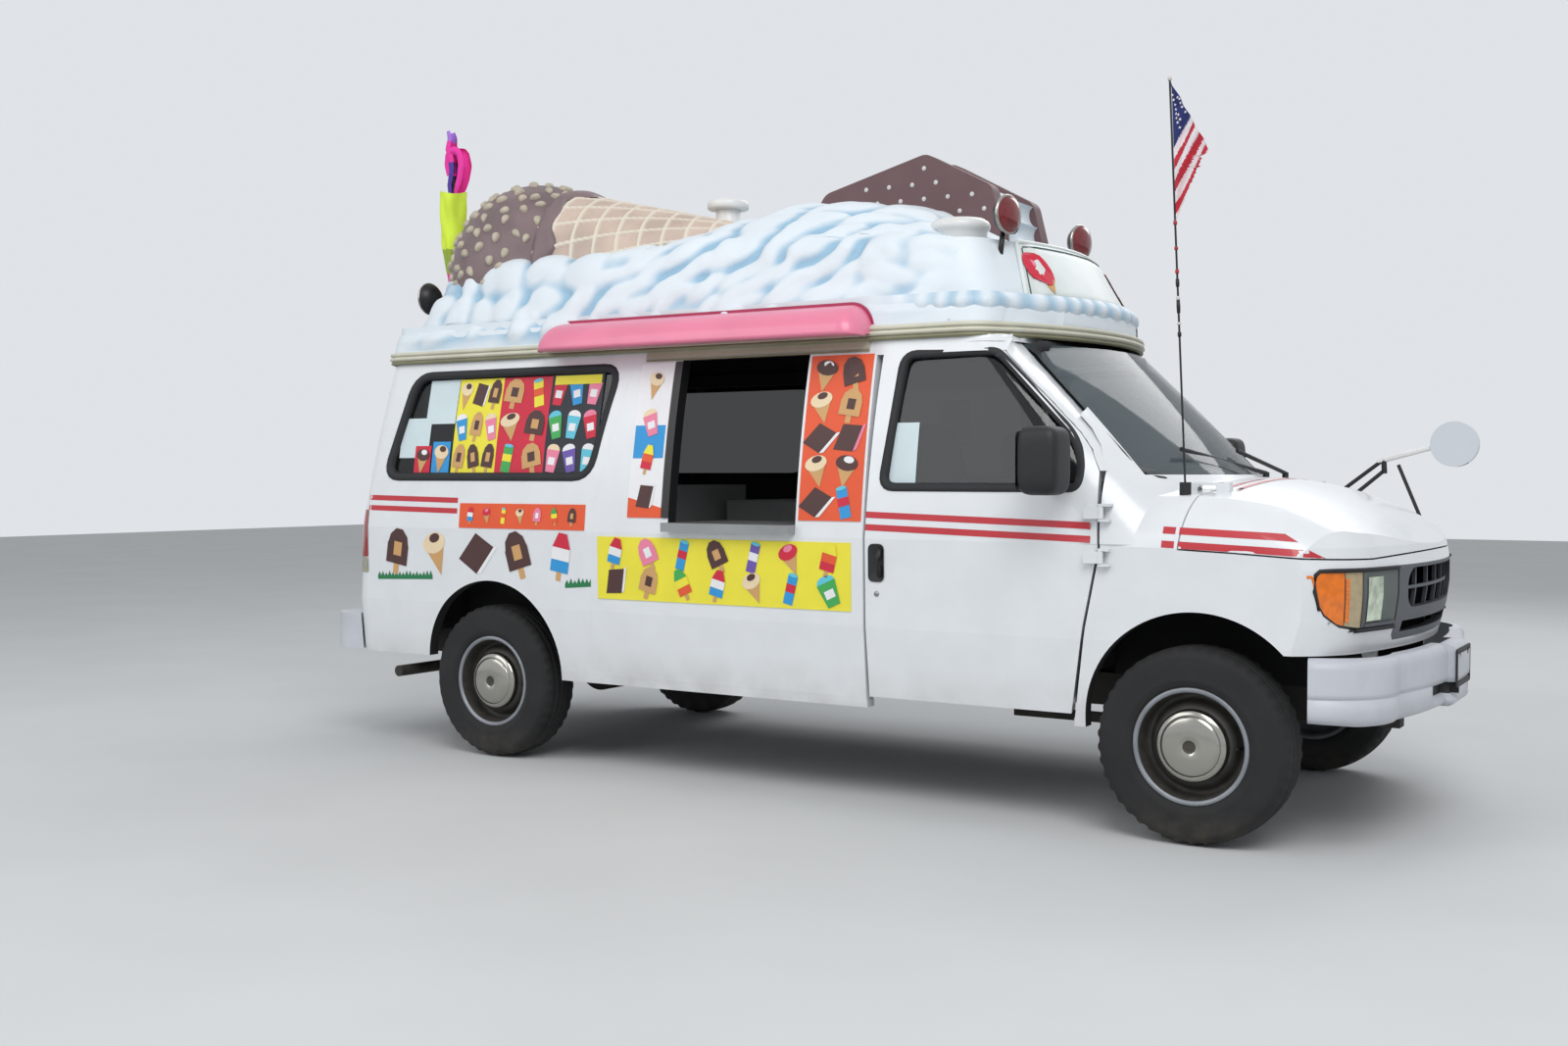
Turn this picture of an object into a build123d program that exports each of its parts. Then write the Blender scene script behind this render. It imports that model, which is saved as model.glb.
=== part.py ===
"""Ice cream truck: a full-size van with a moulded ice cream roof, serving hatch and hinged doors.

Millimetres, +X to the front, +Y to the left, +Z up. The origin is on the ground, at the middle of
the overall length and width. Places along the van are given ahead of or behind the front axle.
"""

import os
from math import cos, radians, sin

from build123d import *

os.makedirs("parts", exist_ok=True)

# Chassis and wheels
wheelbase = 3505
front_overhang = 760
rear_overhang = 1100
bracket_depth = 30
front_track = 1763
rear_track = 1702
tyre_diameter = 744
tyre_width = 225
rim_diameter = 441
king_pin_y = 790
king_pin_radius = 15
spindle_radius = 22
running_clearance = 0.05
seat_gap = 0.3
moving_gap = 6

# Body: heights, half widths and wall
sill_z = 410
step_z = 750
belt_z = 1120
shoulder_z = 1540
rail_z = 1960
sill_half = 968
step_half = 1000
belt_half = 1007
shoulder_half = 955
rail_half = 865
body_wall = 60
hood_wall = 25
rear_face_low = 4420
rear_face_high = 4290
rear_corner_radius = 110
floor_top_z = 640
floor_thickness = 45
nose_back = 500
fender_low_z = 730

# Doors, hatch and windows, as distances behind the front axle
door_rear_seam = 1380
hatch_rear_seam = 2845
door_bottom_z = 445
door_top_z = 1925
seam = 6
rear_door_half = 745
rear_door_bottom_z = 705
rear_door_top_z = 1905
leaning_swing_clearance = 6
glass_thickness = 6

# Roof
cap_low_half = 882
cap_band_z = 2100
cap_top_z = 2385
cap_wall = 40

overall_length = bracket_depth + front_overhang + wheelbase + rear_overhang
axle_x = overall_length / 2 - bracket_depth - front_overhang
wheel_z = tyre_diameter / 2
tyre_radius = tyre_diameter / 2


def at(ahead):
    """X of a place given ahead of the front axle."""
    return axle_x + ahead


def prism_y(points, y_low, y_high):
    """Side-view outline, of points ahead of the front axle and up, between two y values."""
    with BuildPart() as solid:
        with BuildSketch(Plane.XZ.offset(-y_low)):
            with BuildLine():
                Polyline(*[(at(x), z) for x, z in points], close=True)
            make_face()
        extrude(amount=y_low - y_high)
    return solid.part


def prism_x(points, ahead_low, ahead_high):
    """Front-view outline of (y, z) points, between two places along the van."""
    with BuildPart() as solid:
        with BuildSketch(Plane.YZ.offset(at(ahead_low))):
            with BuildLine():
                Polyline(*points, close=True)
            make_face()
        extrude(amount=ahead_high - ahead_low)
    return solid.part


def block(ahead_low, ahead_high, y_low, y_high, z_low, z_high, rounding=0):
    """Plain block between two places on each axis, with its upright edges rounded."""
    with BuildPart() as solid:
        middle = ((at(ahead_low) + at(ahead_high)) / 2, (y_low + y_high) / 2)
        with BuildSketch(Plane.XY.offset(z_low)):
            with Locations(middle):
                if rounding:
                    RectangleRounded(ahead_high - ahead_low, y_high - y_low, rounding)
                else:
                    Rectangle(ahead_high - ahead_low, y_high - y_low)
        extrude(amount=z_high - z_low)
    return solid.part


def window_prism(points, y_low, y_high, rounding):
    """Side-view outline with rounded corners, for a window."""
    with BuildPart() as solid:
        with BuildSketch(Plane.XZ.offset(-y_low)) as outline:
            with BuildLine():
                Polyline(*[(at(x), z) for x, z in points], close=True)
            make_face()
            fillet(outline.vertices(), rounding)
        extrude(amount=y_low - y_high)
    return solid.part


def tapered_prism_y(points, y_outer, y_inner, bevel):
    """Side-view outline that shrinks by the bevel from the outer y to the inner y."""
    with BuildPart() as solid:
        for y, amount in ((y_outer, 0), (y_inner, -bevel)):
            with BuildSketch(Plane.XZ.offset(-y)):
                with BuildLine():
                    Polyline(*[(at(x), z) for x, z in points], close=True)
                make_face()
                if amount:
                    offset(amount=amount, kind=Kind.INTERSECTION, mode=Mode.REPLACE)
        loft(ruled=True)
    return solid.part


# Body moulds: each is a loft of plan outlines at a few heights, drawn in by an inset


def plan_face(z, half, rear, corner, pillar, front, inset):
    """Plan section at one height: flat tail with round corners, straight sides, bowed front."""
    half -= inset
    tail = at(-rear) + inset
    radius = rear_corner_radius - inset / 2
    pillar_x, pillar_y = at(pillar[0]) - inset, pillar[1] - inset
    nose = at(front) - 1.33 * inset
    side_end = at(corner)
    bend = ((side_end + pillar_x) / 2 + 0.04 * half, half - 0.28 * (half - pillar_y))
    cut = radius * (1 - sin(radians(45)))
    with BuildSketch(Plane.XY.offset(z)) as section:
        with BuildLine():
            Line((tail, half - radius), (tail, radius - half))
            ThreePointArc((tail, radius - half), (tail + cut, cut - half), (tail + radius, -half))
            Line((tail + radius, -half), (side_end, -half))
            ThreePointArc((side_end, -half), (bend[0], -bend[1]), (pillar_x, -pillar_y))
            ThreePointArc((pillar_x, -pillar_y), (nose, 0), (pillar_x, pillar_y))
            ThreePointArc((pillar_x, pillar_y), bend, (side_end, half))
            Line((side_end, half), (tail + radius, half))
            ThreePointArc((tail + radius, half), (tail + cut, half - cut), (tail, half - radius))
        make_face()
    return section.sketch


# Columns: height, half width, tail, side's end, pillar (ahead, y), front middle
greenhouse_table = (
    (belt_z, belt_half, rear_face_low - 28, -360, (-20, 900), 165),
    (shoulder_z, shoulder_half, rear_face_low - 80, -660, (-400, 800), -205),
    (rail_z, rail_half, rear_face_high, -1000, (-830, 700), -620),
)
lower_table = (
    (sill_z, sill_half, rear_face_low),
    (step_z, step_half, rear_face_low),
    (belt_z, belt_half, rear_face_low - 28),
)
# Columns: ahead of the axle, half width, crease height, shoulder y, shoulder height, crown height
nose_table = (
    (-nose_back, belt_half, 1118, 860, 1290, 1350),
    (-180, 1000, 1112, 852, 1302, 1368),
    (140, 988, 1100, 842, 1292, 1364),
    (460, 960, 1080, 792, 1208, 1262),
    (780, 900, 1056, 700, 1010, 1030),
)
# Columns: height, how far the nose's front stands back
nose_rake = ((250, 70), (735, 42), (850, 12), (940, 0), (1040, 0), (1120, 16), (1210, 62), (1320, 165), (1450, 330))
nose_front = 698


def greenhouse(inset):
    """Cabin above the belt, with its sloping windshield plane."""
    with BuildPart() as solid:
        loft([plan_face(*row, inset) for row in greenhouse_table])
    return solid.part


def lower_body(inset):
    """Cabin below the belt, back from the doors' front edges."""
    with BuildPart() as solid:
        for z, half, rear in lower_table:
            with BuildSketch(Plane.XY.offset(z)):
                radius = rear_corner_radius - inset / 2
                tail, front = at(-rear) + inset, at(-nose_back)
                side = half - inset
                cut = radius * (1 - sin(radians(45)))
                with BuildLine():
                    Line((tail, side - radius), (tail, radius - side))
                    ThreePointArc((tail, radius - side), (tail + cut, cut - side), (tail + radius, -side))
                    Polyline((tail + radius, -side), (front, -side), (front, side), (tail + radius, side))
                    ThreePointArc((tail + radius, side), (tail + cut, side - cut), (tail, side - radius))
                make_face()
        loft(ruled=True)
    return solid.part


def nose_plan(inset):
    """Everything behind the nose's bowed front, in plan, at its slope."""
    with BuildPart() as solid:
        for z, back in nose_rake:
            tip = nose_front - back - inset
            turn, turn_y = tip - 98, 690
            bend, bend_y = tip - 200 + 0.3 * inset, 890 - 0.7 * inset
            start, start_y = 180 - back, 1012 - inset
            with BuildSketch(Plane.XY.offset(z)):
                with BuildLine():
                    for s in (-1, 1):
                        Line((at(-nose_back), s * 1040), (at(start), s * start_y))
                        ThreePointArc((at(start), s * start_y), (at(bend), s * bend_y), (at(turn), s * turn_y))
                    ThreePointArc((at(turn), -turn_y), (at(tip), 0), (at(turn), turn_y))
                    Line((at(-nose_back), -1040), (at(-nose_back), 1040))
                make_face()
        loft(ruled=True)
    return solid.part


def nose(inset):
    """Front end: sections across the van, cut to the bowed front."""
    with BuildPart() as solid:
        for ahead, half, crease_z, shoulder_y, top_z, crown_z in nose_table:
            side, low = half - inset, sill_z
            with BuildSketch(Plane.YZ.offset(at(ahead))):
                with BuildLine():
                    for s in (-1, 1):
                        Polyline(
                            (s * (side - belt_half + sill_half), low),
                            (s * (side - belt_half + step_half), step_z),
                            (s * side, crease_z - inset),
                        )
                        mid = ((side + shoulder_y - inset) / 2 + 22, (crease_z + top_z) / 2 - inset + 14)
                        ThreePointArc(
                            (s * side, crease_z - inset),
                            (s * mid[0], mid[1]),
                            (s * (shoulder_y - inset), top_z - inset),
                        )
                    ThreePointArc(
                        (inset - shoulder_y, top_z - inset),
                        (0, crown_z - inset),
                        (shoulder_y - inset, top_z - inset),
                    )
                    base = side - belt_half + sill_half
                    Line((-base, low), (base, low))
                make_face()
        loft()
        add(nose_plan(inset), mode=Mode.INTERSECT)
    return solid.part


def mould(inset):
    """Whole body as one closed form, drawn in by an inset."""
    return lower_body(inset) + greenhouse(inset) + nose(inset)


outer_mould = mould(0)
shell = outer_mould - mould(body_wall)


def finish(node, label):
    """Names a piece and writes it."""
    node.part.label = label
    export_step(node.part, f"parts/{label}.step")


def grown(points, amount):
    """Closed outline with each side moved out by an amount, its corners kept sharp."""
    loop = [Vector(*point) for point in points]
    turning = sum(a.X * b.Y - b.X * a.Y for a, b in zip(loop, loop[1:] + loop[:1]))
    out = amount if turning > 0 else -amount
    corners = []
    for before, corner, after in zip(loop[-1:] + loop[:-1], loop, loop[1:] + loop[:1]):
        arriving, leaving = (corner - before).normalized(), (after - corner).normalized()
        across = Vector(arriving.Y + leaving.Y, -arriving.X - leaving.X)
        reach = out / (1 + arriving.dot(leaving))
        corners.append((corner.X + across.X * reach, corner.Y + across.Y * reach))
    return corners


# Hinges: local z is the pin's line, local x points to the fixed side and local y out of the skin
hinge_pin_radius = 7
hinge_barrel_radius = 12
hinge_barrel_length = 46
hinge_lug = 10


def hinge_box(x_low, x_high, y_low, y_high, z_low, z_high):
    """Block in a hinge's own axes."""
    with BuildPart() as solid:
        with Locations(((x_low + x_high) / 2, (y_low + y_high) / 2, (z_low + z_high) / 2)):
            Box(x_high - x_low, y_high - y_low, z_high - z_low)
    return solid.part


def fixed_hinge(plane, reach, depth):
    """Pin between two lugs, which run back into the fixed skin."""
    half = hinge_barrel_length / 2 + 1
    with BuildPart() as solid:
        Cylinder(hinge_pin_radius, 2 * (half + hinge_lug))
        for low in (-half - hinge_lug, half):
            add(hinge_box(-hinge_pin_radius, reach, -depth, hinge_pin_radius, low, low + hinge_lug))
    return plane * solid.part


def moving_hinge(plane, reach, foot, depth):
    """Barrel round the pin, with a strap to a foot in the moving skin."""
    half = hinge_barrel_length / 2
    with BuildPart() as solid:
        Cylinder(hinge_barrel_radius, hinge_barrel_length)
        add(hinge_box(-reach, 0, -2, hinge_barrel_radius - 2, -half, half))
        add(hinge_box(-reach, -foot, -depth, hinge_barrel_radius - 2, -half, half))
        Cylinder(hinge_pin_radius + running_clearance, 2 * hinge_barrel_length, mode=Mode.SUBTRACT)
    return plane * solid.part


front_hinge_x, front_hinge_y = -340, 1022
rear_hinge_y, rear_hinge_out = 770, 32
hood_hinge_x, hood_hinge_y, hood_hinge_z = -60, 720, 1345
tail_lean = Vector(rear_face_low - rear_face_high, 0, rail_z - step_z).normalized()


def front_hinge_planes(side):
    """Axes of the two hinges of a front door."""
    return [Plane(origin=(at(front_hinge_x), side * front_hinge_y, z), x_dir=(1, 0, 0), z_dir=(0, 0, side))
            for z in (1070, 1240)]


def rear_hinge_planes(side):
    """Axes of the three hinges of a rear door, along the leaning tail."""
    foot = Vector(at(-rear_face_low) - rear_hinge_out, side * rear_hinge_y, step_z)
    return [Plane(origin=foot + tail_lean * up, x_dir=(0, side, 0), z_dir=tail_lean * side)
            for up in (60, 520, 1040)]


def hood_hinge_planes():
    """Axes of the hood's two hinges, at the cowl's corners."""
    return [Plane(origin=(at(hood_hinge_x), y, hood_hinge_z), x_dir=(-1, 0, 0), z_dir=(0, 1, 0))
            for y in (-hood_hinge_y, hood_hinge_y)]


# Side-view outlines, in (ahead of the front axle, height)
front_door_line = [
    (-door_rear_seam, door_bottom_z),
    (-460, door_bottom_z),
    (-410, 800),
    (-350, 1100),
    (-356, 1400),
    (-400, 1498),
    (-450, 1566),
    (-802, door_top_z),
    (-door_rear_seam, door_top_z),
]
front_window_line = [(-1310, 1330), (-446, 1330), (-438, 1405), (-463, 1493), (-510, 1560), (-815, 1862),
                     (-850, 1888), (-1255, 1888)]
quarter_window_line = [(-4200, 1370), (-2860, 1370), (-2745, 1890), (-4060, 1890)]
mid_window_line = [(-2400, 1370), (-1500, 1370), (-1500, 1860), (-2400, 1860)]
hatch_line = [(-hatch_rear_seam, 450), (-door_rear_seam - 10, 450), (-door_rear_seam - 10, door_top_z),
              (-2650, door_top_z), (-2810, 1280)]
serving_line = [(-2390, 1130), (-1715, 1130), (-1715, 1905), (-2390, 1905)]
hood_seam_line = [(-nose_back, 1118), (-347, 1113), (-50, 1104), (162, 1094), (406, 1079), (590, 1074),
                  (690, 1090), (800, 1092)]
side_out = 1300

front_region = prism_y(
    [(-460, 300)] + front_door_line[1:-1] + [(-802, 2000), (900, 2000), (900, 300)],
    -side_out, side_out,
)
under_seam = prism_y(
    hood_seam_line + [(800, 300), (-nose_back, 300)], -side_out, side_out
)
over_seam = prism_y(
    hood_seam_line + [(800, 2000), (-nose_back, 2000)], -side_out, side_out
)
over_hood_seam = prism_y(
    [(x, z + seam) for x, z in hood_seam_line] + [(800, 2000), (-nose_back, 2000)], -side_out, side_out
)


def arch(ahead, z, radius):
    """Wheel opening through both sides: round above its centre and open below."""
    with BuildPart() as solid:
        with BuildSketch(Plane.XZ.offset(side_out)):
            with Locations((at(ahead), z)):
                Circle(radius)
            with Locations((at(ahead), z - radius)):
                Rectangle(2 * radius, 2 * radius)
        extrude(amount=-2 * side_out)
    return solid.part


front_arch = arch(15, 445, 430)
rear_arch = arch(-wheelbase + 35, 440, 430)


def hood_plan(gap):
    """Everything ahead of the hood's bowed rear edge, held back by a gap."""
    edge = ((-130 + gap, -side_out), (60 + gap, 0), (-130 + gap, side_out))
    with BuildPart() as solid:
        with BuildSketch(Plane.XY.offset(900)):
            with BuildLine():
                ThreePointArc(*[(at(x), y) for x, y in edge])
                Polyline((at(-130 + gap), side_out), (at(900), side_out), (at(900), -side_out),
                         (at(-130 + gap), -side_out))
            make_face()
        extrude(amount=700)
    return solid.part


lamp_line = [(900, 817), (560, 817), (505, 832), (462, 875), (442, 930), (438, 1000), (448, 1040), (900, 1040)]
bezel_half, bezel_low_z, bezel_high_z = 515, 763, 1047
lamp_regions = [prism_y(lamp_line, *sorted((s * bezel_half, s * side_out))) for s in (-1, 1)]
bezel_line = [(-bezel_half, bezel_low_z + 22), (22 - bezel_half, bezel_low_z), (bezel_half - 22, bezel_low_z),
              (bezel_half, bezel_low_z + 22), (bezel_half, bezel_high_z), (-bezel_half, bezel_high_z)]
grille_region = prism_x(bezel_line, 450, 900)
door_gap = prism_y(grown(front_door_line, seam / 2), -side_out, side_out)
below_front = block(15, 900, -side_out, side_out, 300, fender_low_z)

rail_y, rail_width = 420, 80
rail_low_z, rail_high_z = 425, 560
apron_back = 20 - nose_back
apron_shelf = nose(20)

# Fenders, one each side, with the panels under the lamps and the inner aprons
with BuildPart() as fenders:
    add(shell)
    add(front_region, mode=Mode.INTERSECT)
    add(under_seam, mode=Mode.INTERSECT)
    for cutter in [front_arch, grille_region, below_front, door_gap, *lamp_regions]:
        add(cutter, mode=Mode.SUBTRACT)
    add(block(-nose_back - 50, 555, -450, 450, 300, 1200), mode=Mode.SUBTRACT)
    for s in (-1, 1):
        add(apron_shelf & block(-330, 425, *sorted((s * 445, s * 1000)), 890, 905))
        add(block(apron_back, -330, *sorted((s * 445, s * 900)), 890, 905))
        add(block(apron_back, 555, *sorted((s * 445, s * 470)), rail_high_z, 905))
        for plane in front_hinge_planes(s)[:1]:
            add(fixed_hinge(plane, 36, 36))
finish(fenders, "fenders")

# Windshield frame: pillars, header and cowl
windshield_line = [(-808, 1385), (808, 1385), (690, 1924), (-690, 1924)]
windshield_prism = prism_x(windshield_line, -900, -25)
with BuildPart() as windshield_frame:
    add(shell)
    add(front_region, mode=Mode.INTERSECT)
    add(over_seam, mode=Mode.INTERSECT)
    add(hood_plan(0), mode=Mode.SUBTRACT)
    add(windshield_prism, mode=Mode.SUBTRACT)
    add(door_gap, mode=Mode.SUBTRACT)
    for plane in hood_hinge_planes():
        add(fixed_hinge(plane, 36, 55))
    for s in (-1, 1):
        add(fixed_hinge(front_hinge_planes(s)[1], 36, 46))
finish(windshield_frame, "windshield_frame")

# Hood, which carries the tops of the fenders
hood_skin = nose(0) - nose(hood_wall)
with BuildPart() as hood:
    add(hood_skin)
    add(over_hood_seam, mode=Mode.INTERSECT)
    add(hood_plan(moving_gap), mode=Mode.INTERSECT)
    add(greenhouse(-moving_gap), mode=Mode.SUBTRACT)
    for plane in hood_hinge_planes():
        add(moving_hinge(plane, 130, 78, 60))
finish(hood, "hood")

# Grille panel with its oval of bars and lower slot
grille_bars = nose(18) - nose(32)
with BuildPart() as grille:
    add(nose(0) - nose(40))
    add(prism_x(grown(bezel_line, -seat_gap), 450, 900), mode=Mode.INTERSECT)
    with BuildSketch(Plane.YZ.offset(at(900))):
        with Locations((0, 957)):
            SlotOverall(870, 152)
        with Locations((0, 812)):
            Rectangle(890, 42)
    extrude(amount=-500, mode=Mode.SUBTRACT)
    add(grille_bars & block(400, 900, -450, 450, 951, 963))
    for y in (-300, -150, 0, 150, 300):
        add(grille_bars & block(400, 900, y - 5, y + 5, 870, 1040))
finish(grille, "grille")

# Head and turn lamps in one block each side, and the tail lamps
lamp_skin = nose(3) - nose(54)
tail_lamp_boxes = [
    block(-4500, -4362, min(s * 870, s * 1010), max(s * 870, s * 1010), 872, 1198) for s in (-1, 1)
]
with BuildPart() as lamps:
    for s in (-1, 1):
        add(lamp_skin & prism_y(
            grown(lamp_line, -seat_gap), *sorted((s * (bezel_half + seat_gap), s * side_out))))
    for box in tail_lamp_boxes:
        add(shell & box)
finish(lamps, "lamps")

# Sides, tail frame and hatch panel
tail_low_z = 478
tail_wall_line = [(-5000, 300), (-4310, 300), (-4310, 900), (-4160, 2000), (-5000, 2000)]
tail_zone = prism_y(tail_wall_line, -side_out, side_out)
rear_trim = block(-5000, -wheelbase, -side_out, side_out, 300, tail_low_z)
cant_rail = prism_y([(-door_rear_seam, door_top_z + 3), (-802, door_top_z + 3), (-802, 2000),
                     (-door_rear_seam, 2000)], -side_out, side_out)
side_zone = block(-5000, -door_rear_seam, -side_out, side_out, 300, 2000) + cant_rail - tail_zone
hatch_zone = prism_y(grown(hatch_line, seam / 2), -side_out, 0)
with BuildPart() as side_right:
    add(shell)
    add(side_zone, mode=Mode.INTERSECT)
    add(block(-5000, 1000, -side_out, -300, 300, 2100), mode=Mode.INTERSECT)
    add(hatch_zone, mode=Mode.SUBTRACT)
    add(window_prism(quarter_window_line, -side_out, 0, 70), mode=Mode.SUBTRACT)
    for cutter in (rear_arch, rear_trim, door_gap):
        add(cutter, mode=Mode.SUBTRACT)
finish(side_right, "side_right")

with BuildPart() as side_left:
    add(shell)
    add(side_zone, mode=Mode.INTERSECT)
    add(block(-5000, 1000, 300, side_out, 300, 2100), mode=Mode.INTERSECT)
    add(window_prism(quarter_window_line, 0, side_out, 70), mode=Mode.SUBTRACT)
    add(window_prism(mid_window_line, 0, side_out, 70), mode=Mode.SUBTRACT)
    for cutter in (rear_arch, rear_trim, door_gap):
        add(cutter, mode=Mode.SUBTRACT)
finish(side_left, "side_left")

with BuildPart() as hatch_panel:
    add(shell)
    add(prism_y(grown(hatch_line, -seam / 2 + seam - seat_gap), -side_out, -300), mode=Mode.INTERSECT)
    add(prism_y(serving_line, -side_out, 0), mode=Mode.SUBTRACT)
finish(hatch_panel, "hatch_panel")

rear_opening = [(-rear_door_half, rear_door_bottom_z), (rear_door_half, rear_door_bottom_z),
                (rear_door_half, rear_door_top_z), (-rear_door_half, rear_door_top_z)]
with BuildPart() as rear_frame:
    add(shell)
    add(tail_zone, mode=Mode.INTERSECT)
    add(rear_trim, mode=Mode.SUBTRACT)
    add(block(-5000, -4000, -750, 750, 300, 575), mode=Mode.SUBTRACT)
    add(prism_x(grown(rear_opening, seam / 2), -5000, -4000), mode=Mode.SUBTRACT)
    for box in tail_lamp_boxes:
        add(box, mode=Mode.SUBTRACT)
    for s in (-1, 1):
        for plane in rear_hinge_planes(s):
            add(fixed_hinge(plane, 42, 56))
finish(rear_frame, "rear_frame")

# Front doors, with their edges cut back towards the cabin so that they swing clear
glass_sheet = greenhouse(22) - greenhouse(22 + glass_thickness)
for side, name in ((-1, "right"), (1, "left")):
    with BuildPart() as front_door:
        add(shell)
        add(tapered_prism_y(grown(front_door_line, -seam / 2), side * 1030, side * 690, 60),
            mode=Mode.INTERSECT)
        add(window_prism(front_window_line, min(0, side * side_out), max(0, side * side_out), 40),
            mode=Mode.SUBTRACT)
        for plane in front_hinge_planes(side):
            add(moving_hinge(plane, 64, 27, 42))
    finish(front_door, f"front_door_{name}")
    with BuildPart() as door_glass:
        add(glass_sheet)
        add(window_prism(grown(front_window_line, -seat_gap), min(0, side * side_out),
                         max(0, side * side_out), 40), mode=Mode.INTERSECT)
    finish(door_glass, f"door_glass_{name}")
    with BuildPart() as door_mirror:
        low, high = sorted((side * 1060, side * 1250))
        add(block(-600, -430, low, high, 1305, 1570, 40))
        low, high = sorted((side * 940, side * 1065))
        add(block(-560, -470, low, high, 1320, 1366, 20))
        add(outer_mould, mode=Mode.SUBTRACT)
    finish(door_mirror, f"door_mirror_{name}")

# Rear doors: two leaves that meet in the middle
for side, name in ((-1, "right"), (1, "left")):
    leaf_low_z, leaf_high_z = rear_door_bottom_z + seam / 2, rear_door_top_z - seam / 2 - leaning_swing_clearance
    leaf_inner, leaf_outer = side * seam / 2, side * (rear_door_half - seam / 2)
    leaf = [(leaf_inner, leaf_low_z), (leaf_outer, leaf_low_z), (leaf_outer, leaf_high_z), (leaf_inner, leaf_high_z)]
    window = [(side * 90, 1370), (side * 660, 1370), (side * 640, 1850), (side * 90, 1850)]
    with BuildPart() as rear_door:
        add(shell)
        add(tail_zone, mode=Mode.INTERSECT)
        add(prism_x(leaf, -5000, -4000), mode=Mode.INTERSECT)
        add(prism_x(window, -5000, -4000), mode=Mode.SUBTRACT)
        for plane in rear_hinge_planes(side):
            add(moving_hinge(plane, 90, 35, 56))
    finish(rear_door, f"rear_door_{name}")
    with BuildPart() as rear_glass:
        add(glass_sheet)
        add(prism_x(grown(window, -seat_gap), -5000, -4100), mode=Mode.INTERSECT)
    finish(rear_glass, f"rear_glass_{name}")

# Fixed glass: windshield, quarter windows and the far side's middle window
with BuildPart() as glass:
    add(glass_sheet & prism_x(grown(windshield_line, -seat_gap), -880, 400))
    for low, high in ((-side_out, 0), (0, side_out)):
        add(glass_sheet & window_prism(grown(quarter_window_line, -seat_gap), low, high, 70))
    add(glass_sheet & window_prism(grown(mid_window_line, -seat_gap), 0, side_out, 70))
finish(glass, "glass")

# Floor pan with toe board, engine cover and rear wheel tubs
floor_low_z = floor_top_z - floor_thickness
cover_half, cover_top_z = 270, 1120
inner_floor = lower_body(body_wall + seat_gap)
with BuildPart() as floor_pan:
    add(inner_floor & block(-4330, -nose_back, -side_out, side_out, floor_low_z, floor_top_z))
    add(block(-nose_back - 20, -nose_back + 20, -880, 880, floor_low_z, 1300))
    add(block(-1100, -nose_back, -cover_half, cover_half, floor_top_z, cover_top_z))
    add(block(-1075, -nose_back + 100, 25 - cover_half, cover_half - 25, 500, cover_top_z - 25), mode=Mode.SUBTRACT)
    for s in (-1, 1):
        low, high = sorted((s * 620, s * 905))
        add(block(-3970, -2960, low, high, floor_low_z, 905))
    for s in (-1, 1):
        low, high = sorted((s * 640, s * 1000))
        add(block(-3950, -2980, low, high, 300, 885), mode=Mode.SUBTRACT)
finish(floor_pan, "floor_pan")

with BuildPart() as chassis:
    for s in (-1, 1):
        low, high = s * rail_y - rail_width / 2, s * rail_y + rail_width / 2
        add(block(-rear_face_low - 8, 640, low, high, rail_low_z, rail_high_z))
        for ahead in (-4200, -2700, -1600, -700):
            add(block(ahead - 50, ahead + 50, low, high, rail_high_z, floor_low_z))
    for ahead in (-4300, -1780, -1150, 560):
        add(block(ahead - 40, ahead + 40, -rail_y, rail_y, rail_low_z + 30, rail_high_z - 30))
finish(chassis, "chassis")

with BuildPart() as engine:
    add(block(-1000, 250, -225, 225, rail_high_z - 40, 1030, 30))
    add(block(-300, -220, -380, 380, rail_high_z - 40, rail_high_z + 20))
    add(chassis.part, mode=Mode.SUBTRACT)
finish(engine, "engine")


def tube_y(ahead, z, y_low, y_high, radius):
    """Round bar across the van."""
    with BuildPart() as solid:
        with BuildSketch(Plane.XZ.offset(-y_low)):
            with Locations((at(ahead), z)):
                Circle(radius)
        extrude(amount=y_low - y_high)
    return solid.part


def tube_z(ahead, y, z_low, z_high, radius):
    """Upright round bar."""
    with BuildPart() as solid:
        with BuildSketch(Plane.XY.offset(z_low)):
            with Locations((at(ahead), y)):
                Circle(radius)
        extrude(amount=z_high - z_low)
    return solid.part


# Front axle: beam, forks that hold the king pins, and arms back to the rails
with BuildPart() as front_axle:
    add(block(-35, 35, -730, 730, 335, 405))
    for s in (-1, 1):
        low, high = sorted((s * 715, s * 752))
        add(block(-32, 32, low, high, wheel_z - 98, wheel_z + 98))
        low, high = sorted((s * 715, s * 825))
        for z_low, z_high in ((-98, -62), (62, 98)):
            add(block(-32, 32, low, high, wheel_z + z_low, wheel_z + z_high))
        add(tube_z(0, s * king_pin_y, 200, 600, king_pin_radius + running_clearance), mode=Mode.SUBTRACT)
        low, high = sorted((s * 400, s * 440))
        add(block(-950, 0, low, high, 345, 385))
        add(block(-950, -890, low, high, 345, rail_low_z))
finish(front_axle, "front_axle")

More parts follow.
